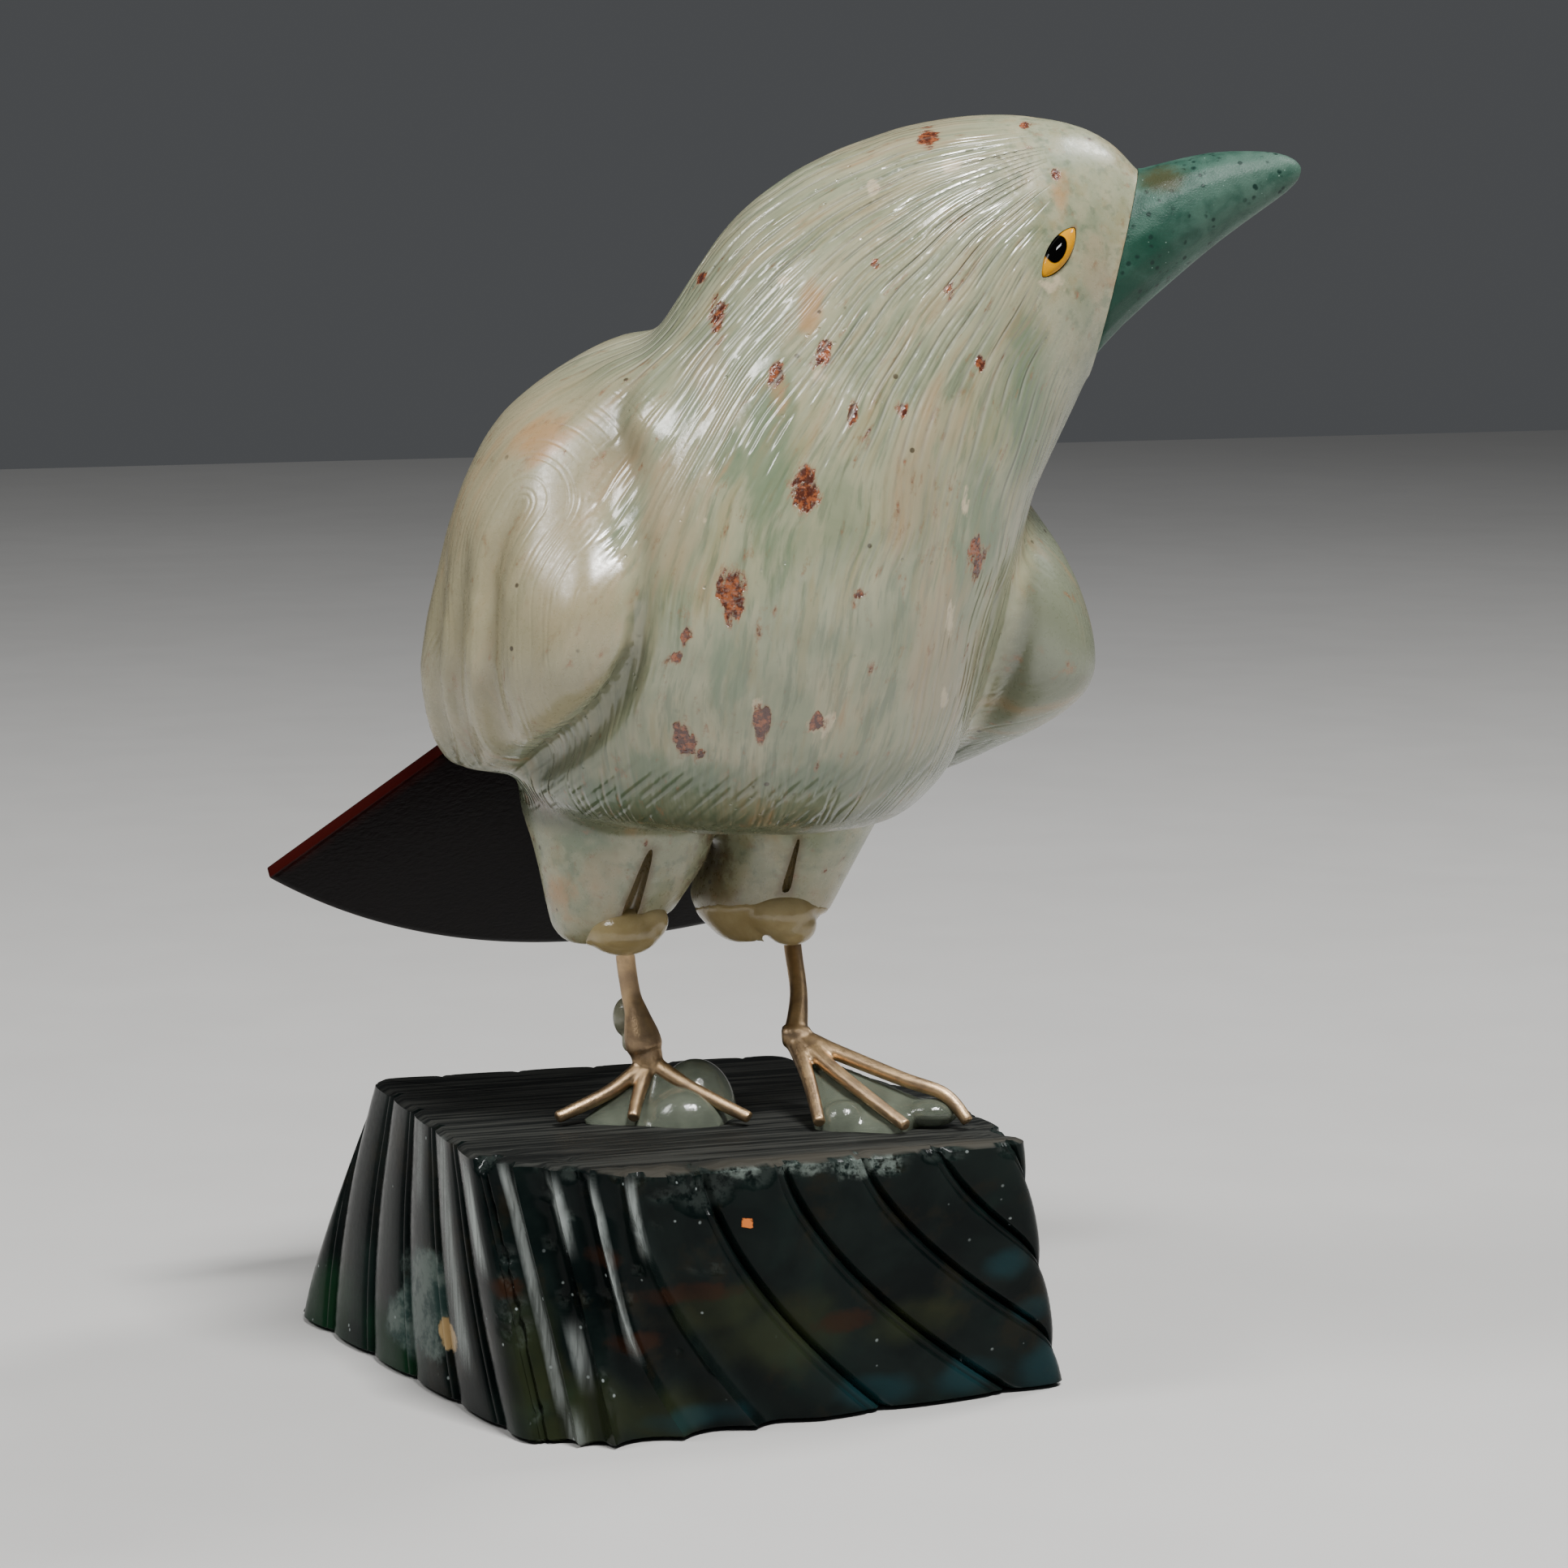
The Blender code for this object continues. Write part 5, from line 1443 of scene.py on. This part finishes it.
# %% The eye's glass
PUPIL = (1.85, 1.0)
PUPIL_PLACE = (-0.3, 0.8)
PUPIL_TILT = math.radians(14)
EYE_RIM = (4.0, 1.42)
AMBER = new_finish("amber_glass", IOR=1.45, Specular_IOR_Level=0.12)
eye_up, eye_back, _ = add("SeparateXYZ", {0: add("UVMap", uv_map="eye").outputs[0]}).outputs


def oval(middle, size, tilt=0.0):
    """Distance from an oval's middle, 1 on its line."""
    first, second = minus(eye_up, middle[0]), minus(eye_back, middle[1])
    ways = (math.cos(tilt), math.sin(tilt)), (-math.sin(tilt), math.cos(tilt))
    turned = [plus(times(first, a), times(second, b)) for a, b in ways]
    squares = [calc("POWER", calc("ABSOLUTE", calc("DIVIDE", t, s)), 2.0) for t, s in zip(turned, size)]
    return calc("SQRT", plus(*squares))


pupil = oval(PUPIL_PLACE, PUPIL, PUPIL_TILT)
colour = tinted(mixed(noise(900, 3.0), (0.66, 0.31, 0.0), (0.48, 0.19, 0.0)), {
    "dark rim": (1, span(oval((0, 0), EYE_RIM), 0.84, 0.97), (0.12, 0.035, 0.002)),
    "black pupil": (1, span(pupil, 1.04, 0.94), (0.001, 0.001, 0.001)),
})
connect(colour, span(pupil, 1.04, 0.94, 0.12, 0.04))
print(AMBER.name, "takes", len(tree.nodes), "nodes")

# %% [markdown]
# The tail's slab is nearly black. Where it is thin, light through it is painted on: dark red along the
# sides of the fan and in its side edges. A painted cold grey highlight lies in the edge at its back.

# %% The tail's stone
TAIL = new_finish("tail_stone", Specular_IOR_Level=0.1)
clouds = use(CLOUDS, Place=place, Size=0.01)
cloudy = noise(160, 3.0, 0.6)
thin = times(value_of("thin"), span(cloudy, 0.3, 0.6, 0.3, 1.0))
glow = mixed(value_of("backward"), (0.035, 0.004, 0.003), (0.05, 0.065, 0.085))
colour = tinted(mixed(cloudy, (0.003, 0.0022, 0.0022), (0.006, 0.0036, 0.0036)), {
    "red through thin stone": (0.7, thin, (0.028, 0.004, 0.003)),
    "light in the edge": (1, value_of("edge"), glow),
})
connect(colour, grainy(clouds, 0.14, 0.24), clouds["Grain"], 0.00003)
print(TAIL.name, "takes", len(tree.nodes), "nodes")

# %% [markdown]
# The last finishes are even ones: gilt wire and resin. The resin is clear but thick, so it lets
# light through and keeps a tint: yellowed where it has soaked the thighs, greenish in the pools.

# %% Wire and resin
def simple(name, colour, other, size, rough, **plain):
    """A finish that only clouds between two colours."""
    finish = new_finish(name, **plain)
    clouds = use(CLOUDS, Place=place, Size=size)
    connect(mixed(clouds["Cloud"], colour, other), grainy(clouds, *rough), clouds["Grain"], 0.00003)
    return finish


GILT = simple("gilt_wire", (0.66, 0.46, 0.26), (0.40, 0.28, 0.175), 0.0025, (0.32, 0.52), Metallic=1.0)
COLLAR = simple("collar_resin", (0.38, 0.29, 0.13), (0.50, 0.40, 0.21), 0.004, (0.08, 0.18),
                Transmission_Weight=0.15, IOR=1.5, Subsurface_Weight=0.2, Subsurface_Radius=(1.0, 0.8, 0.4),
                Subsurface_Scale=0.002)
POOL = simple("pool_resin", (0.22, 0.25, 0.19), (0.34, 0.38, 0.29), 0.004, (0.05, 0.14),
              Transmission_Weight=0.65, IOR=1.5)
DROP = simple("drop_resin", (0.26, 0.26, 0.18), (0.40, 0.40, 0.29), 0.003, (0.05, 0.14),
              Transmission_Weight=0.2, IOR=1.5)
print("finishes:", [finish.name for finish in (GILT, COLLAR, POOL, DROP)])

# %% [markdown]
# Each piece gets its finish and takes the place of the frame's plain solid. Nothing moves on this
# carving, so every piece rides on the one body.

# %% The pieces in the frame
def dress(piece, finish, slot, *nodes):
    """Gives a piece its finish, and its place in the frame."""
    piece.data.materials.clear()
    piece.data.materials.append(finish)
    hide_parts(*nodes)
    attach(piece, "root")
    print(piece.name, "stands for", *nodes)


smooth(bird, 50)
dress(bird, SAGE, "sage_stone", "bird_body")
dress(beak, GREEN, "beak_stone", "beak")
dress(tail, TAIL, "tail_stone", "tail")
dress(block, DARK, "dark_stone", "base_block")
for name in ("right", "left"):
    dress(glass_eyes[name], AMBER, "amber_glass", "eye_" + name)
    dress(legs[name], GILT, "gilt_wire", "leg_" + name)
    dress(collars[name], COLLAR, "collar_resin", "thigh_resin_" + name)
    dress(pools[name], POOL, "pool_resin", "foot_resin_" + name)
dress(ankle_drop, DROP, "pool_resin", "ankle_resin")

# %% [markdown]
# The picture: a plain pale floor, soft lights, and the camera where the photograph was taken from,
# a little above the bird and to its side.

# %% Floor, lights and camera
bpy.ops.mesh.primitive_plane_add(size=3, location=(0, 0, -0.0002))
floor = bpy.context.active_object
floor.name = "floor"
floor.data.materials.append(simple("floor_paper", (0.60, 0.59, 0.57), (0.64, 0.63, 0.61), 0.4, (0.6, 0.7)))


def soft_light(name, azimuth, height, distance, size, power):
    """A soft box that looks at the carving's middle."""
    light = bpy.data.lights.new(name, "AREA")
    light.shape = "RECTANGLE"
    light.size, light.size_y = size
    light.energy = power
    lamp = placed(name, light)
    turn, rise = math.radians(azimuth), math.radians(height)
    away = Vector((math.sin(turn) * math.cos(rise), -math.cos(turn) * math.cos(rise), math.sin(rise)))
    lamp.location = Vector((0, 0, 0.08)) + away * distance
    lamp.rotation_euler = away.to_track_quat("Z", "Y").to_euler()
    return lamp


soft_light("key", 5, 58, 0.9, (0.24, 0.12), 11.8)
soft_light("left_fill", -78, 45, 0.9, (0.2, 0.3), 3.5)
soft_light("right_fill", 100, 50, 0.9, (0.2, 0.25), 3.2)
world = bpy.data.worlds.new("room")
world.use_nodes = True
sky = world.node_tree.nodes["Background"].inputs
sky["Color"].default_value = (0.75, 0.78, 0.82, 1)
sky["Strength"].default_value = 0.095
bpy.context.scene.world = world

# Where the photograph was taken from, as fitted to the block's top, foot and corners
view = bpy.data.cameras.new("photo_view")
view.lens = 110.5
camera = placed("photo_view", view)
camera.location = (-0.18402, -0.54067, 0.150)
camera.rotation_euler = (math.radians(82.07), 0, math.radians(-20))
bpy.context.scene.camera = camera
print("the camera stands", round(camera.location.length, 3), "m away, with a lens of", view.lens, "mm")
